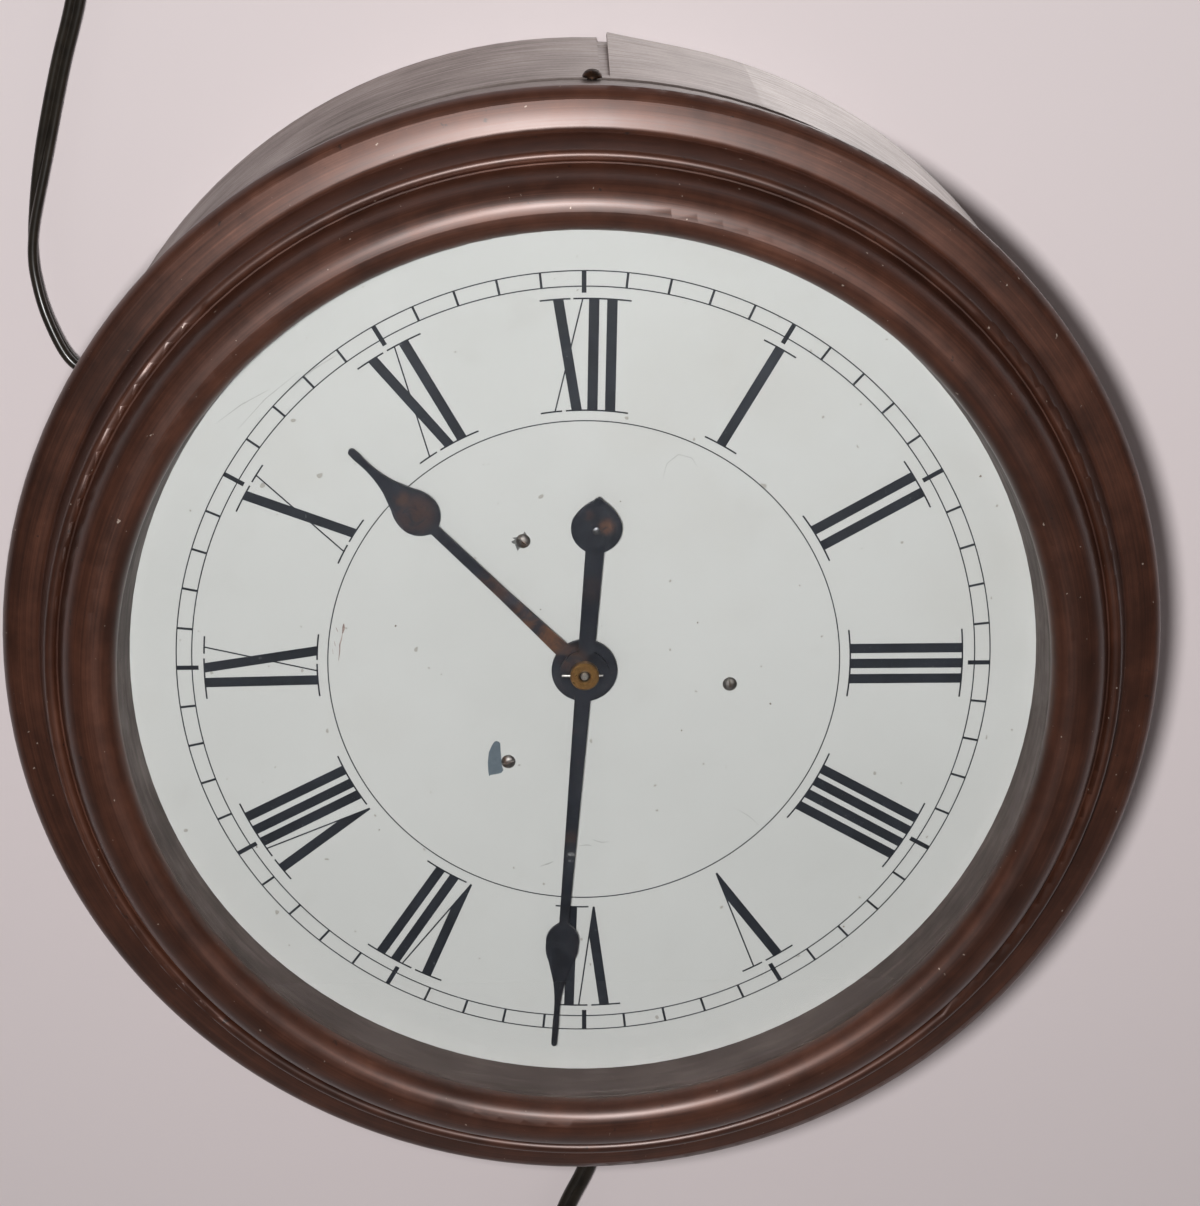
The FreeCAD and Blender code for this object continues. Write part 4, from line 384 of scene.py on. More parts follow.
# Materials
class Finish:
    """Node material under construction, with short names for what repeats."""

    def __init__(self, name, **constants):
        self.material = bpy.data.materials.new(name)
        self.material.use_nodes = True
        self.tree = self.material.node_tree
        self.shader = self.tree.nodes["Principled BSDF"]
        self.place = self.tree.nodes.new("ShaderNodeTexCoord").outputs["Object"]
        for key, value in constants.items():
            self.shader.inputs[key.replace("_", " ")].default_value = value

    def add(self, kind, inputs=(), **settings):
        node = self.tree.nodes.new("ShaderNode" + kind)
        for key, value in settings.items():
            setattr(node, key, value)
        for key, value in dict(inputs).items():
            self.feed(node.inputs[key], value)
        return node

    def feed(self, socket, value):
        if isinstance(value, bpy.types.NodeSocket):
            self.tree.links.new(value, socket)
        else:
            socket.default_value = value

    def set(self, name, value):
        self.feed(self.shader.inputs[name], value)

    def math(self, operation, first, second=0.0):
        return self.add("Math", {0: first, 1: second}, operation=operation).outputs[0]

    def weighted(self, *terms):
        """Sum of (value, weight) pairs."""
        total = None
        for value, weight in terms:
            share = self.math("MULTIPLY", value, weight)
            total = share if total is None else self.math("ADD", total, share)
        return total

    def span(self, value, low, high, to_low=0.0, to_high=1.0):
        """Smooth change from one value to another as the input goes from low to high."""
        node = self.add(
            "MapRange",
            {"Value": value, "From Min": low, "From Max": high, "To Min": to_low, "To Max": to_high},
            interpolation_type="SMOOTHSTEP",
        )
        return node.outputs[0]

    def noise(self, scale, detail=3.0, roughness=0.55, vector=None, distortion=0.0):
        node = self.add(
            "TexNoise",
            {
                "Vector": self.place if vector is None else vector,
                "Scale": scale,
                "Detail": detail,
                "Roughness": roughness,
                "Distortion": distortion,
            },
        )
        return node.outputs["Fac"]

    def stretched(self, x, y, z):
        """Object coordinates scaled unevenly, for grain that runs one way."""
        node = self.add("Mapping", {"Vector": self.place, "Scale": (x, y, z)})
        return node.outputs["Vector"]

    def parts(self):
        return self.add("SeparateXYZ", {"Vector": self.place}).outputs

    def round_place(self, angle_scale, cross_scale, centre=(0.0, 0.0)):
        """Coordinates that change slowly round the dial's axis and fast across it."""
        across, deep, up = self.parts()
        across = self.math("SUBTRACT", across, centre[0])
        up = self.math("SUBTRACT", up, centre[1])
        squares = self.math("ADD", self.math("MULTIPLY", across, across), self.math("MULTIPLY", up, up))
        radius = self.math("MAXIMUM", self.math("SQRT", squares), 1e-5)
        joined = self.math("ADD", radius, self.math("MULTIPLY", deep, 0.9))
        vector = self.add(
            "CombineXYZ",
            {
                "X": self.math("MULTIPLY", self.math("DIVIDE", across, radius), angle_scale),
                "Y": self.math("MULTIPLY", self.math("DIVIDE", up, radius), angle_scale),
                "Z": self.math("MULTIPLY", joined, cross_scale),
            },
        )
        return vector.outputs["Vector"]

    def mix(self, share, first, second):
        node = self.add("Mix", data_type="RGBA")
        self.feed(node.inputs["Factor"], share)
        for socket, value in ((node.inputs[6], first), (node.inputs[7], second)):
            self.feed(socket, value if isinstance(value, bpy.types.NodeSocket) else (*value, 1.0))
        return node.outputs[2]

    def ramp(self, value, stops):
        node = self.add("ValToRGB", {"Fac": value})
        elements = node.color_ramp.elements
        while len(elements) < len(stops):
            elements.new(1.0)
        for element, (position, colour) in zip(elements, stops):
            element.position = position
            element.color = (*colour, 1.0)
        return node.outputs["Color"]

    def spot_mask(self, across, up, radius, soft=0.3):
        """1 within a radius of a place on the dial plane, in millimetres."""
        x, _, z = self.parts()
        dx = self.math("SUBTRACT", x, across * MM)
        dz = self.math("SUBTRACT", z, up * MM)
        squares = self.math("ADD", self.math("MULTIPLY", dx, dx), self.math("MULTIPLY", dz, dz))
        distance = self.math("SQRT", squares)
        return self.span(distance, radius * MM, radius * MM * (1 + soft), 1.0, 0.0)

    def bump(self, height, distance, strength=1.0):
        node = self.add("Bump", {"Height": height, "Distance": distance, "Strength": strength})
        self.set("Normal", node.outputs["Normal"])

    def finish(self, *names):
        for name in names:
            NODES[name].data.materials.clear()
            NODES[name].data.materials.append(self.material)
        return self.material


def patina_copper():
    """Spun copper under an old brown lacquer, with pale specks and dark pits."""
    paint = Finish(
        "patina_copper", Metallic=0.35, IOR=1.5, Coat_Weight=0.35, Coat_Roughness=0.34, Coat_IOR=1.5
    )
    spun = paint.noise(1.0, 4.0, 0.6, paint.round_place(2.0, 1500.0))
    cloud = paint.noise(1.0, 4.0, 0.6, paint.round_place(1.6, 70.0), 0.4)
    mottled = paint.noise(70.0, 5.0, 0.65)
    tone = paint.weighted((spun, 0.3), (cloud, 0.4), (mottled, 0.3))
    colour = paint.ramp(
        tone,
        [
            (0.32, (0.020, 0.0070, 0.0040)),
            (0.46, (0.048, 0.0155, 0.0080)),
            (0.58, (0.088, 0.0290, 0.0150)),
            (0.72, (0.165, 0.0650, 0.0380)),
        ],
    )
    specks = paint.span(paint.noise(520.0, 2.0, 0.5), 0.74, 0.79)
    colour = paint.mix(paint.math("MULTIPLY", specks, 0.7), colour, (0.45, 0.36, 0.30))
    pits = paint.span(paint.noise(240.0, 3.0, 0.6), 0.68, 0.74)
    colour = paint.mix(paint.math("MULTIPLY", pits, 0.7), colour, (0.012, 0.007, 0.006))
    paint.set("Base Color", colour)
    paint.set("Roughness", paint.span(tone, 0.35, 0.7, 0.36, 0.48))
    paint.bump(paint.math("ADD", spun, paint.math("MULTIPLY", mottled, 0.5)), 0.02 * MM, 0.6)
    paint.finish("bezel")


def case_sheet():
    """Grey-brown sheet of the drum, with long streaks round it."""
    paint = Finish("case_sheet", Metallic=0.35)
    streak = paint.noise(1.0, 4.0, 0.65, paint.round_place(5.0, 700.0), 0.2)
    stain = paint.noise(28.0, 4.0, 0.6)
    grain = paint.noise(900.0, 2.0, 0.5)
    tone = paint.weighted((streak, 0.55), (stain, 0.35), (grain, 0.1))
    colour = paint.ramp(
        tone,
        [(0.3, (0.12, 0.094, 0.082)), (0.5, (0.26, 0.215, 0.195)), (0.72, (0.43, 0.37, 0.35))],
    )
    paint.set("Base Color", colour)
    paint.set("Roughness", paint.span(tone, 0.3, 0.7, 0.62, 0.42))
    paint.bump(streak, 0.04 * MM, 0.5)
    paint.finish("bezel_skirt", "drum_band", "seam_strap", "back_pan")


def inner_sheet():
    """Sheet round the dial, streaked like the drum; its colour is darkened as painted shade for the
    recess inside the bezel.
    """
    paint = Finish("inner_sheet", Metallic=0.3)
    streak = paint.noise(1.0, 4.0, 0.65, paint.round_place(6.0, 500.0), 0.3)
    stain = paint.noise(45.0, 4.0, 0.6)
    tone = paint.weighted((streak, 0.5), (stain, 0.5))
    # painted shade: these tones are kept dark to stand in for the shade inside the bezel's recess; the
    # streaks are the sheet's own
    colour = paint.ramp(
        tone,
        [(0.3, (0.030, 0.020, 0.017)), (0.5, (0.066, 0.046, 0.040)), (0.7, (0.125, 0.092, 0.083))],
    )
    paint.set("Base Color", colour)
    paint.set("Roughness", paint.span(tone, 0.3, 0.7, 0.7, 0.45))
    paint.bump(streak, 0.05 * MM, 0.5)
    paint.finish("dial_frame", "sight_ring")


def enamel():
    """Aged off-white dial paint with smudges and foxing."""
    paint = Finish("enamel", Roughness=0.34)
    cloud = paint.noise(9.0, 4.0, 0.6)
    fine = paint.noise(120.0, 4.0, 0.6)
    base = paint.ramp(
        cloud,
        [(0.3, (0.545, 0.548, 0.532)), (0.55, (0.572, 0.575, 0.560)), (0.75, (0.541, 0.536, 0.514))],
    )
    smudge = paint.math("MULTIPLY", paint.span(paint.noise(30.0, 5.0, 0.7), 0.56, 0.72), 0.10)
    colour = paint.mix(smudge, base, (0.36, 0.34, 0.31))
    specks = paint.span(paint.noise(260.0, 1.0, 0.4), 0.765, 0.79)
    colour = paint.mix(paint.math("MULTIPLY", specks, 0.55), colour, (0.22, 0.19, 0.15))
    paint.set("Base Color", colour)
    paint.bump(fine, 0.02 * MM, 0.3)
    paint.finish("dial")


# Rust on the hands: across, up and radius in millimetres, and strength
RUST_PATCHES = [
    (-55.5, 56.0, 6.5, 0.35),
    (-60.0, 61.0, 3.0, 0.4),
    (-11.5, 12.0, 7.0, 0.95),
    (-19.0, 19.3, 6.0, 0.8),
    (-30.0, 30.4, 6.0, 0.4),
    (-4.0, 5.0, 5.0, 0.4),
    (7.4, 52.0, 3.0, 0.75),
    (1.5, 56.0, 2.0, 0.2),
    (2.0, 30.0, 5.0, 0.1),
    (-5.0, -60.0, 3.0, 0.2),
]
PALE_RUB = (-4.6, -66.9)
WEIGHT_RIVET = (3.9, 50.5)
MINUTE_WHEEL_CENTRE = (12.7279 * MM, -12.7279 * MM)


def blued_steel():
    """Blue-black hands, rusted in patches where the bluing has gone."""
    paint = Finish("blued_steel", Metallic=0.7)
    grain = paint.noise(300.0, 4.0, 0.6)
    cloud = paint.noise(60.0, 4.0, 0.6)
    colour = paint.ramp(
        cloud,
        [(0.3, (0.010, 0.012, 0.017)), (0.6, (0.018, 0.020, 0.027)), (0.8, (0.034, 0.032, 0.038))],
    )
    patch = paint.noise(210.0, 5.0, 0.7, None, 0.6)
    rust = paint.math("MULTIPLY", paint.span(patch, 0.60, 0.70), 0.25)
    for across, up, radius, strength in RUST_PATCHES:
        near = paint.spot_mask(across, up, radius * 0.4, 2.2)
        broken = paint.math("MULTIPLY", near, paint.span(patch, 0.36, 0.56))
        rust = paint.math("MAXIMUM", rust, paint.math("MULTIPLY", broken, strength))
    colour = paint.mix(rust, colour, (0.115, 0.055, 0.032))
    pale = paint.spot_mask(*PALE_RUB, 0.9, 1.4)
    pale = paint.math("MULTIPLY", pale, paint.span(patch, 0.45, 0.55))
    colour = paint.mix(paint.math("MULTIPLY", pale, 0.8), colour, (0.42, 0.42, 0.41))
    paint.set("Base Color", colour)
    paint.set("Roughness", paint.span(grain, 0.3, 0.7, 0.34, 0.55))
    paint.bump(grain, 0.02 * MM, 0.5)
    paint.finish("hour_hand", "minute_hand")


def brass(name, names, centre=(0.0, 0.0), turned_face=True, aged_with_painted_shade=False):
    """Brass with turning marks or straight grain.

    Aged brass is browner, darkened round the arbor as painted shade for the collet's recess, and grey
    at the weight's rivet.
    """
    paint = Finish(name, Metallic=0.85 if aged_with_painted_shade else 1.0)
    if turned_face:
        vector = paint.round_place(3.0, 2600.0, centre)
    else:
        vector = paint.stretched(3500.0, 900.0, 60.0)
    grain = paint.noise(1.0, 3.0, 0.6, vector)
    cloud = paint.noise(55.0, 4.0, 0.6)
    tone = paint.weighted((grain, 0.5), (cloud, 0.5))
    if aged_with_painted_shade:
        stops = [(0.3, (0.10, 0.045, 0.012)), (0.5, (0.22, 0.115, 0.035)), (0.7, (0.36, 0.21, 0.075))]
        colour = paint.ramp(tone, stops)
        # painted shade: a dark spot round the arbor stands in for the shade in the collet's recess
        painted_recess_shade = paint.spot_mask(0.0, 0.0, 1.6, 0.4)
        colour = paint.mix(painted_recess_shade, colour, (0.012, 0.010, 0.008))
        rivet = paint.spot_mask(*WEIGHT_RIVET, 2.0, 0.2)
        colour = paint.mix(rivet, colour, (0.085, 0.085, 0.09))
    else:
        stops = [(0.3, (0.30, 0.17, 0.055)), (0.5, (0.50, 0.33, 0.12)), (0.7, (0.62, 0.44, 0.19))]
        colour = paint.ramp(tone, stops)
    paint.set("Base Color", colour)
    paint.set("Roughness", paint.span(tone, 0.3, 0.7, 0.42, 0.24))
    paint.bump(grain, 0.01 * MM, 0.4)
    paint.finish(*names)


def steel(name, names, dark=(0.10, 0.095, 0.09), light=(0.45, 0.43, 0.41), rust=0.0):
    """Steel or iron between two tones, with a share of rust."""
    paint = Finish(name, Metallic=1.0)
    grain = paint.noise(1400.0, 3.0, 0.6)
    cloud = paint.noise(240.0, 4.0, 0.6)
    tone = paint.weighted((grain, 0.4), (cloud, 0.6))
    colour = paint.ramp(tone, [(0.3, dark), (0.7, light)])
    if rust:
        spread = paint.span(paint.noise(320.0, 4.0, 0.6), 0.48, 0.62)
        colour = paint.mix(paint.math("MULTIPLY", spread, rust), colour, (0.10, 0.045, 0.02))
    paint.set("Base Color", colour)
    paint.set("Roughness", paint.span(tone, 0.3, 0.7, 0.5, 0.28))
    paint.bump(grain, 0.01 * MM, 0.4)
    paint.finish(*names)


def moulding(name, names, dark, light, roughness):
    """Moulded fibre, resin or rubber between two tones."""
    paint = Finish(name, Roughness=roughness)
    cloud = paint.noise(120.0, 4.0, 0.6)
    grain = paint.noise(1500.0, 2.0, 0.5)
    paint.set("Base Color", paint.ramp(cloud, [(0.3, dark), (0.7, light)]))
    paint.bump(grain, 0.02 * MM, 0.4)
    paint.finish(*names)


def winding():
    """Silk-covered wire in even turns round upright coils."""
    paint = Finish("silk_winding", Roughness=0.75)
    wave = paint.add(
        "TexWave",
        {"Vector": paint.place, "Scale": 620.0, "Distortion": 0.6, "Detail": 2.0, "Detail Scale": 4.0},
        bands_direction="Z",
    ).outputs["Fac"]
    fuzz = paint.noise(900.0, 3.0, 0.6)
    colour = paint.ramp(
        paint.weighted((wave, 0.6), (fuzz, 0.4)),
        [(0.2, (0.008, 0.035, 0.016)), (0.6, (0.025, 0.10, 0.045)), (0.9, (0.06, 0.17, 0.08))],
    )
    paint.set("Base Color", colour)
    paint.bump(wave, 0.12 * MM, 0.8)
    paint.finish("coil_windings", "coil_leads")


def cord_cover():
    """Dark brown glossy cover of the twin lamp cord."""
    paint = Finish("cord_cover", Roughness=0.28)
    cloud = paint.noise(160.0, 3.0, 0.5)
    fine = paint.noise(1100.0, 2.0, 0.5)
    colour = paint.ramp(cloud, [(0.3, (0.010, 0.008, 0.006)), (0.7, (0.022, 0.017, 0.012))])
    paint.set("Base Color", colour)
    paint.bump(fine, 0.02 * MM, 0.3)
    return paint.material


def clear_glass():
    """Window glass that lets the lamps light the dial behind it."""
    paint = Finish("clear_glass", IOR=1.45, Transmission_Weight=1.0, Base_Color=(0.97, 0.985, 0.98, 1))
    smear = paint.noise(18.0, 4.0, 0.6)
    paint.set("Roughness", paint.span(smear, 0.4, 0.8, 0.0, 0.03))
    clear = paint.add("BsdfTransparent")
    path = paint.add("LightPath")
    lit = paint.math("MAXIMUM", path.outputs["Is Shadow Ray"], path.outputs["Is Diffuse Ray"])
    mix = paint.add("MixShader", {"Fac": lit})
    paint.tree.links.new(paint.shader.outputs["BSDF"], mix.inputs[1])
    paint.tree.links.new(clear.outputs["BSDF"], mix.inputs[2])
    paint.tree.links.new(mix.outputs["Shader"], paint.tree.nodes["Material Output"].inputs["Surface"])
    paint.finish("glass")


def ink():
    """Blue-black dial print, a little worn."""
    paint = Finish("ink", Roughness=0.32)
    cloud = paint.noise(80.0, 4.0, 0.6)
    colour = paint.ramp(cloud, [(0.35, (0.007, 0.009, 0.013)), (0.7, (0.016, 0.019, 0.026))])
    worn = paint.span(paint.noise(420.0, 3.0, 0.6), 0.68, 0.76)
    colour = paint.mix(paint.math("MULTIPLY", worn, 0.35), colour, (0.20, 0.20, 0.20))
    paint.set("Base Color", colour)
    return paint.material


patina_copper()
case_sheet()
inner_sheet()
enamel()
blued_steel()
clear_glass()
winding()
brass("plate_brass", ["front_plate", "back_plate"], turned_face=False)
brass("turned_brass", ["ratchet_wheel", "hour_wheel", "hour_pipe"])
brass("aged_brass_with_painted_shade", ["hand_collet", "counterpoise"], aged_with_painted_shade=True)
brass("wheel_brass", ["minute_wheel"], MINUTE_WHEEL_CENTRE)
brass(
    "post_brass",
    ["dial_posts", "pillars", "post_nuts", "dial_rim_nuts", "armature_stop", "terminal_screws"],
    turned_face=False,
)
steel(
    "bright_steel",
    [
        "minute_arbor", "cannon_pinion", "cannon_pipe", "minute_pinion", "minute_wheel_stud",
        "armature_arbor", "drive_pawl", "stop_click", "drive_pawl_pin", "stop_click_pin", "taper_pin",
    ],
)
steel(
    "screw_steel",
    [
        "dial_rim_screws", "rear_pillar_screws", "front_pillar_screws", "yoke_screws",
        "connector_screws",
    ],
    rust=0.2,
)
steel("dial_screw_steel", ["dial_screws"], (0.06, 0.052, 0.048), (0.27, 0.25, 0.24), 0.6)
steel("browned_steel", ["skirt_screws", "skirt_nuts"], (0.02, 0.014, 0.011), (0.08, 0.055, 0.045), 0.5)
steel("soft_iron", ["magnet_cores", "magnet_yoke", "armature"], (0.08, 0.08, 0.085), (0.22, 0.22, 0.23))
moulding("fibre", ["coil_bobbins"], (0.09, 0.012, 0.008), (0.15, 0.025, 0.016), 0.55)
moulding(
    "block",
    ["terminal_block", "feed_connector", "link_connector"],
    (0.012, 0.009, 0.008),
    (0.028, 0.020, 0.017),
    0.3,
)
moulding(
    "bush_rubber",
    ["feed_grommet", "link_grommet"],
    (0.010, 0.010, 0.010),
    (0.026, 0.025, 0.024),
    0.6,
)
cover = cord_cover()
for cord in cords:
    cord.data.materials.append(cover)


# Dial print, as thin layers of ink on the dial's face; radii and widths in millimetres
INK_LIFT = 0.06 * MM
THIN_INK_LIFT = 0.048 * MM
WEAR_LIFT = 0.03 * MM
INK_GAP = 0.002 * MM
NUMERAL_OUTER = 127.4
NUMERAL_INNER = 89.6
SERIF_THICK = 0.55
SERIF_STEPS = 10
V_NIB = 0.35
BAR = 3.4
HAIRLINE = 0.5
TRACK_OUTER = 136.7
TRACK_INNER = 131.5
TRACK_LINE = 0.4
TICK_WIDTH = 0.8
HOUR_TICK_WIDTH = 1.55
HOUR_TICK_INNER = 129.3
CENTRE_CIRCLE = 86.0
CENTRE_LINE = 0.38

# For each hour, places across the numeral at its outer and inner arcs:
# the bars, the thick and thin slanted strokes, and the serifs' spans
NUMERALS = {
    1: ([(0.2, 0.2)], None, None, [(-5.9, 6.3)], [(-5.8, 6.2)]),
    2: ([(-2.9, -3.0), (3.4, 3.2)], None, None, [(-9.1, 9.5)], [(-9.3, 9.1)]),
    3: ([(-5.4, -5.3), (0.1, 0.1), (5.6, 5.6)], None, None, [(-12.2, 12.4)], [(-12.0, 12.0)]),
    4: (
        [(-7.4, -7.1), (-2.2, -2.1), (3.0, 3.1), (8.2, 8.3)],
        None,
        None,
        [(-13.6, 14.0)],
        [(-13.2, 14.3)],
    ),
    5: ([], (-4.1, -0.8), (5.4, -0.8), [(-10.2, 0.7), (2.1, 9.7)], []),
    6: ([(5.3, 4.1)], (-7.0, -3.3), (1.9, -3.3), [(-12.6, -2.5), (-1.2, 10.1)], [(-1.5, 9.8)]),
    7: (
        [(2.1, -0.3), (7.9, 5.2)],
        (-10.0, -6.8),
        (-0.7, -6.8),
        [(-15.7, -5.7), (-4.3, 13.2)],
        [(-5.0, 10.7)],
    ),
    8: (
        [(-0.5, -2.1), (4.5, 2.8), (10.0, 8.1)],
        (-12.2, -8.5),
        (-3.4, -8.5),
        [(-17.4, -8.3), (-6.8, 15.5)],
        [(-6.7, 13.6)],
    ),
    9: (
        [(-5.4, -4.7)],
        (-0.1, 5.8),
        (7.4, -1.4),
        [(-11.3, 3.3), (5.0, 11.3)],
        [(-10.6, 1.1), (2.5, 11.7)],
    ),
    10: ([], (-3.2, 3.0), (4.8, -4.3), [(-9.6, 0.6), (2.0, 9.0)], [(-9.0, -1.7), (-0.5, 8.7)]),
    11: (
        [(5.7, 5.4)],
        (-6.0, 0.7),
        (2.4, -7.0),
        [(-11.9, -1.8), (-0.4, 12.0)],
        [(-11.0, -4.1), (-2.8, 11.4)],
    ),
    12: (
        [(3.3, 2.7), (9.2, 8.5)],
        (-8.4, -2.4),
        (-0.4, -9.5),
        [(-14.4, -4.4), (-3.5, 15.4)],
        [(-14.2, -7.2), (-6.0, 14.4)],
    ),
}


class Print:
    """Thin closed layers on the dial's face, gathered into one mesh."""

    def __init__(self, lift=INK_LIFT):
        self.vertices = []
        self.faces = []
        self.front = DIAL_FACE - lift
        self.back = DIAL_FACE - INK_GAP

    def layer(self, outline):
        """Closed outline of (across, up) points, in millimetres, clockwise or not."""
        area = sum(a[0] * b[1] - b[0] * a[1] for a, b in zip(outline, outline[1:] + outline[:1]))
        if area < 0:
            outline = outline[::-1]
        first = len(self.vertices)
        count = len(outline)
        for deep in (self.front, self.back):
            self.vertices += [(x * MM, deep, z * MM) for x, z in outline]
        self.faces.append(tuple(first + i for i in range(count)))
        self.faces.append(tuple(first + count + i for i in reversed(range(count))))
        for i in range(count):
            j = (i + 1) % count
            self.faces.append((first + j, first + i, first + count + i, first + count + j))

    def band(self, radius_in, radius_out, start, finish, steps):
        """Ring sector between two turns, in degrees clockwise from the top."""
        turns = [math.radians(start + (finish - start) * i / steps) for i in range(steps + 1)]
        outer = [(radius_out * math.sin(t), radius_out * math.cos(t)) for t in turns]
        inner = [(radius_in * math.sin(t), radius_in * math.cos(t)) for t in turns]
        self.layer(outer + inner[::-1])

    def circle(self, radius, width):
        """Full ring in six closed parts."""
        for start in range(0, 360, 60):
            self.band(radius - width / 2, radius + width / 2, start, start + 60, 60)

    def piece(self, name, material):
        made = new_piece(name, self.vertices, self.faces)
        made.data.materials.append(material)
        return made


def turned_spot(across, radius, turn):
    """Dial place of a point across a numeral's middle line, at a distance from the centre."""
    up = math.sqrt(radius**2 - across**2)
    angle = math.radians(turn)
    return (
        across * math.cos(angle) + up * math.sin(angle),
        up * math.cos(angle) - across * math.sin(angle),
    )


def stroke(layer, turn, outer, inner, width):
    half = width / 2
    layer.layer(
        [
            turned_spot(outer - half, NUMERAL_OUTER, turn),
            turned_spot(outer + half, NUMERAL_OUTER, turn),
            turned_spot(inner + half, NUMERAL_INNER, turn),
            turned_spot(inner - half, NUMERAL_INNER, turn),
        ]
    )


def letter_v(layer, turn, thick, thin, apex):
    """V whose thick stroke keeps its width down to where the thin one meets it."""
    half, thin_half, nib = BAR / 2, HAIRLINE / 2, V_NIB
    span = NUMERAL_OUTER - NUMERAL_INNER
    thick_slope = ((apex - nib) - (thick - half)) / span
    thin_slope = ((apex + nib - HAIRLINE) - (thin - thin_half)) / span
    drop = ((thin - thin_half) - (thick + half)) / (thick_slope - thin_slope)
    valley = (thick + half + thick_slope * drop, NUMERAL_OUTER - drop)
    layer.layer(
        [
            turned_spot(thick - half, NUMERAL_OUTER, turn),
            turned_spot(thick + half, NUMERAL_OUTER, turn),
            turned_spot(*valley, turn),
            turned_spot(thin - thin_half, NUMERAL_OUTER, turn),
            turned_spot(thin + thin_half, NUMERAL_OUTER, turn),
            turned_spot(apex + nib, NUMERAL_INNER, turn),
            turned_spot(apex - nib, NUMERAL_INNER, turn),
        ]
    )


def serif(layer, turn, span, radius):
    start, finish = (turn + math.degrees(math.asin(place / radius)) for place in span)
    layer.band(radius - SERIF_THICK / 2, radius + SERIF_THICK / 2, start, finish, SERIF_STEPS)


def make_numerals(material):
    for hour, (bars, thick, thin, outer_serifs, inner_serifs) in NUMERALS.items():
        turn = hour * 30
        strokes = Print()
        for outer, inner in bars:
            stroke(strokes, turn, outer, inner, BAR)
        if thick and thick[1] == thin[1]:
            letter_v(strokes, turn, thick[0], thin[0], thick[1])
        elif thick:
            stroke(strokes, turn, *thick, BAR)
        strokes.piece(f"numeral_{hour:02d}", material)
        thin_layer = Print(THIN_INK_LIFT)
        if thick and thick[1] != thin[1]:
            stroke(thin_layer, turn, *thin, HAIRLINE)
        for span in outer_serifs:
            serif(thin_layer, turn, span, NUMERAL_OUTER)
        for span in inner_serifs:
            serif(thin_layer, turn, span, NUMERAL_INNER)
        thin_layer.piece(f"numeral_{hour:02d}_serifs", material)


def make_track(material):
    circles = Print()
    circles.circle(TRACK_OUTER, TRACK_LINE)
    circles.circle(TRACK_INNER, TRACK_LINE)
    circles.circle(CENTRE_CIRCLE, CENTRE_LINE)
    circles.piece("dial_circles", material)
    ticks = Print(THIN_INK_LIFT)
    for minute in range(60):
        turn = minute * 6
        hour = minute % 5 == 0
        half = (HOUR_TICK_WIDTH if hour else TICK_WIDTH) / 2
        low = HOUR_TICK_INNER if hour else TRACK_INNER
        ticks.layer(
            [
                turned_spot(-half, TRACK_OUTER, turn),
                turned_spot(half, TRACK_OUTER, turn),
                turned_spot(half, low, turn),
                turned_spot(-half, low, turn),
            ]
        )
    ticks.piece("minute_ticks", material)


dial_ink = ink()
make_numerals(dial_ink)
make_track(dial_ink)


# Wear on the dial: outlines and lines in millimetres across and up from its centre
PAINT_CHIP = [
    (-29.8, -27.4), (-28.9, -27.7), (-28.4, -28.3), (-28.3, -31.0), (-28.1, -33.5),
    (-27.9, -36.5), (-27.4, -38.2), (-28.2, -39.2), (-30.2, -39.7), (-31.8, -39.9),
    (-32.3, -40.4), (-32.6, -38.5), (-32.7, -35.0), (-32.3, -31.5), (-31.3, -29.1),
    (-30.5, -27.8),
]
STAR_CHIP = [
    (-19.7, 47.7), (-20.2, 46.9), (-21.6, 46.5), (-22.3, 45.7), (-23.9, 45.5), (-22.9, 44.9),
    (-24.2, 44.1), (-23.7, 43.5), (-23.0, 43.3), (-22.1, 40.8), (-21.3, 41.9), (-20.0, 41.7),
    (-19.0, 43.0), (-19.0, 46.5),
]
STAINS = [
    ([(-80.3, 15.4), (-80.4, 13.8), (-80.8, 12.0)], 0.95),
    ([(-80.8, 12.0), (-81.2, 10.0), (-81.8, 8.0), (-81.9, 5.5), (-82.4, 2.2)], 0.42),
    ([(-82.9, 14.0), (-82.4, 12.6)], 0.6),
    ([(-83.6, 9.0), (-83.3, 7.4)], 0.5),
    ([(-84.3, 6.2), (-84.1, 4.6)], 0.35),
]
SCUFFS = [
    ([(-1.8, -66.6), (0.8, -66.2), (2.6, -66.5)], 0.5),
    ([(2.9, -64.2), (4.6, -64.9), (6.0, -65.3), (8.6, -65.1)], 0.45),
    ([(-15.0, -74.1), (-12.6, -73.3), (-10.4, -72.3)], 0.6),
    ([(-9.9, -66.8), (-9.5, -69.2)], 0.35),
    ([(8.8, -62.4), (10.4, -62.0)], 0.4),
    ([(52.0, -53.2), (56.0, -55.6), (59.6, -59.0)], 0.3),
    ([(26.0, 66.0), (27.2, 71.0), (31.0, 74.2), (35.5, 73.0), (37.5, 69.5)], 0.3),
    ([(-120.0, 86.0), (-112.0, 92.0), (-103.0, 97.0)], 0.4),
    ([(-113.0, 84.0), (-104.0, 94.0), (-93.0, 103.0)], 0.3),
    ([(-96.0, 97.0), (-88.0, 104.0), (-80.0, 109.0)], 0.4),
]
SPECKS = [
    (-63.0, 14.5, 0.45), (33.0, -24.0, 0.35), (63.0, -14.5, 0.4), (38.0, 15.0, 0.35),
    (131.0, 66.0, 0.5), (-48.0, -3.0, 0.25), (12.0, 58.0, 0.25), (-70.0, -60.0, 0.3),
    (72.0, 28.0, 0.25), (-14.5, 20.0, 0.25), (90.0, -98.0, 0.35), (-112.0, -66.0, 0.35),
]


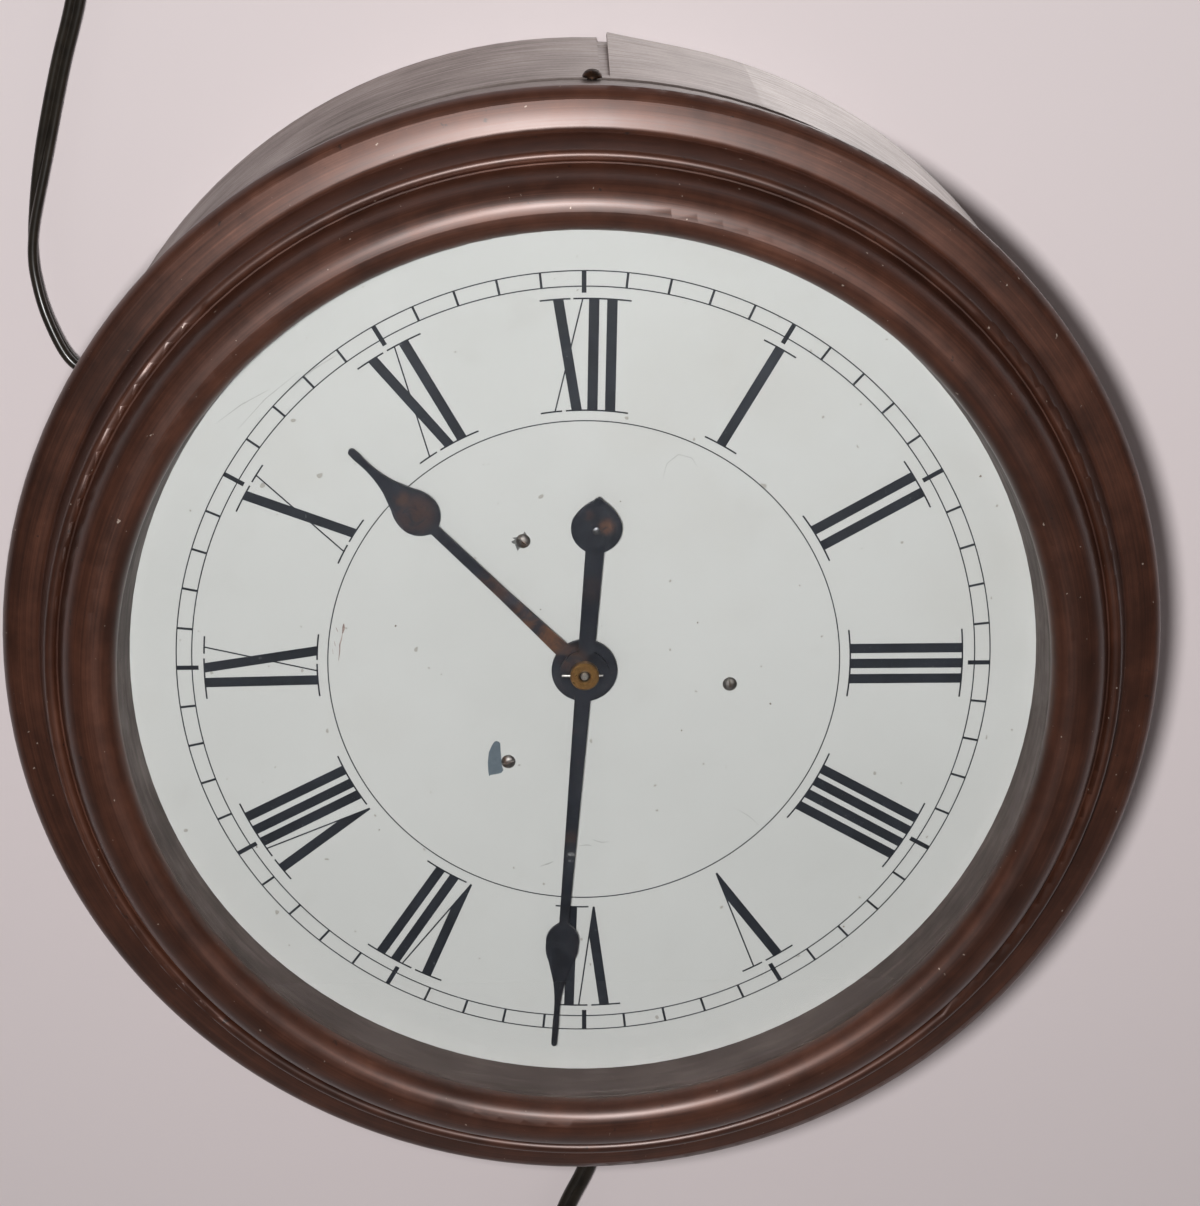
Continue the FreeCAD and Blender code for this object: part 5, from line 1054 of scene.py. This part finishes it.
def plain_paint(name, dark, light):
    paint = Finish(name, Roughness=0.5)
    cloud = paint.noise(900.0, 3.0, 0.6)
    paint.set("Base Color", paint.ramp(cloud, [(0.35, dark), (0.65, light)]))
    return paint.material


def ribbon(layer, line, width):
    """Worn streak along a line, widest in the middle."""
    left, right = [], []
    for index, (x, z) in enumerate(line):
        before = line[max(index - 1, 0)]
        after = line[min(index + 1, len(line) - 1)]
        along = Vector((after[0] - before[0], after[1] - before[1])).normalized()
        share = index / (len(line) - 1)
        half = width / 2 * (0.35 + 0.65 * math.sin(math.pi * share))
        left.append((x - along.y * half, z + along.x * half))
        right.append((x + along.y * half, z - along.x * half))
    for index in range(len(line) - 1):
        layer.layer([left[index], left[index + 1], right[index + 1], right[index]])


SPECK_SIDES = 7


def make_wear():
    layers = Print(WEAR_LIFT)
    layers.layer(PAINT_CHIP)
    layers.piece(
        "dial_paint_chip",
        plain_paint("bare_ground", (0.075, 0.098, 0.118), (0.095, 0.122, 0.145)),
    )
    layers = Print(WEAR_LIFT)
    layers.layer(STAR_CHIP)
    layers.piece(
        "dial_star_chip", plain_paint("chip_edge", (0.055, 0.055, 0.055), (0.12, 0.12, 0.115))
    )
    for name, lines, paint_name, dark, light in (
        ("dial_stains", STAINS, "rust_stain", (0.16, 0.10, 0.09), (0.36, 0.28, 0.25)),
        ("dial_scuffs", SCUFFS, "scuff", (0.38, 0.38, 0.37), (0.46, 0.46, 0.45)),
    ):
        layers = Print(WEAR_LIFT)
        for line, width in lines:
            ribbon(layers, line, width)
        layers.piece(name, plain_paint(paint_name, dark, light))
    layers = Print(WEAR_LIFT)
    chance = random.Random(7)
    turns = [math.tau * step / SPECK_SIDES for step in range(SPECK_SIDES)]
    for x, z, radius in SPECKS:
        radii = [radius * chance.uniform(0.7, 1.2) for _ in turns]
        outline = [(x + r * math.cos(t), z + r * math.sin(t)) for r, t in zip(radii, turns)]
        layers.layer(outline)
    layers.piece("dial_specks", plain_paint("speck", (0.12, 0.10, 0.08), (0.25, 0.21, 0.17)))


make_wear()
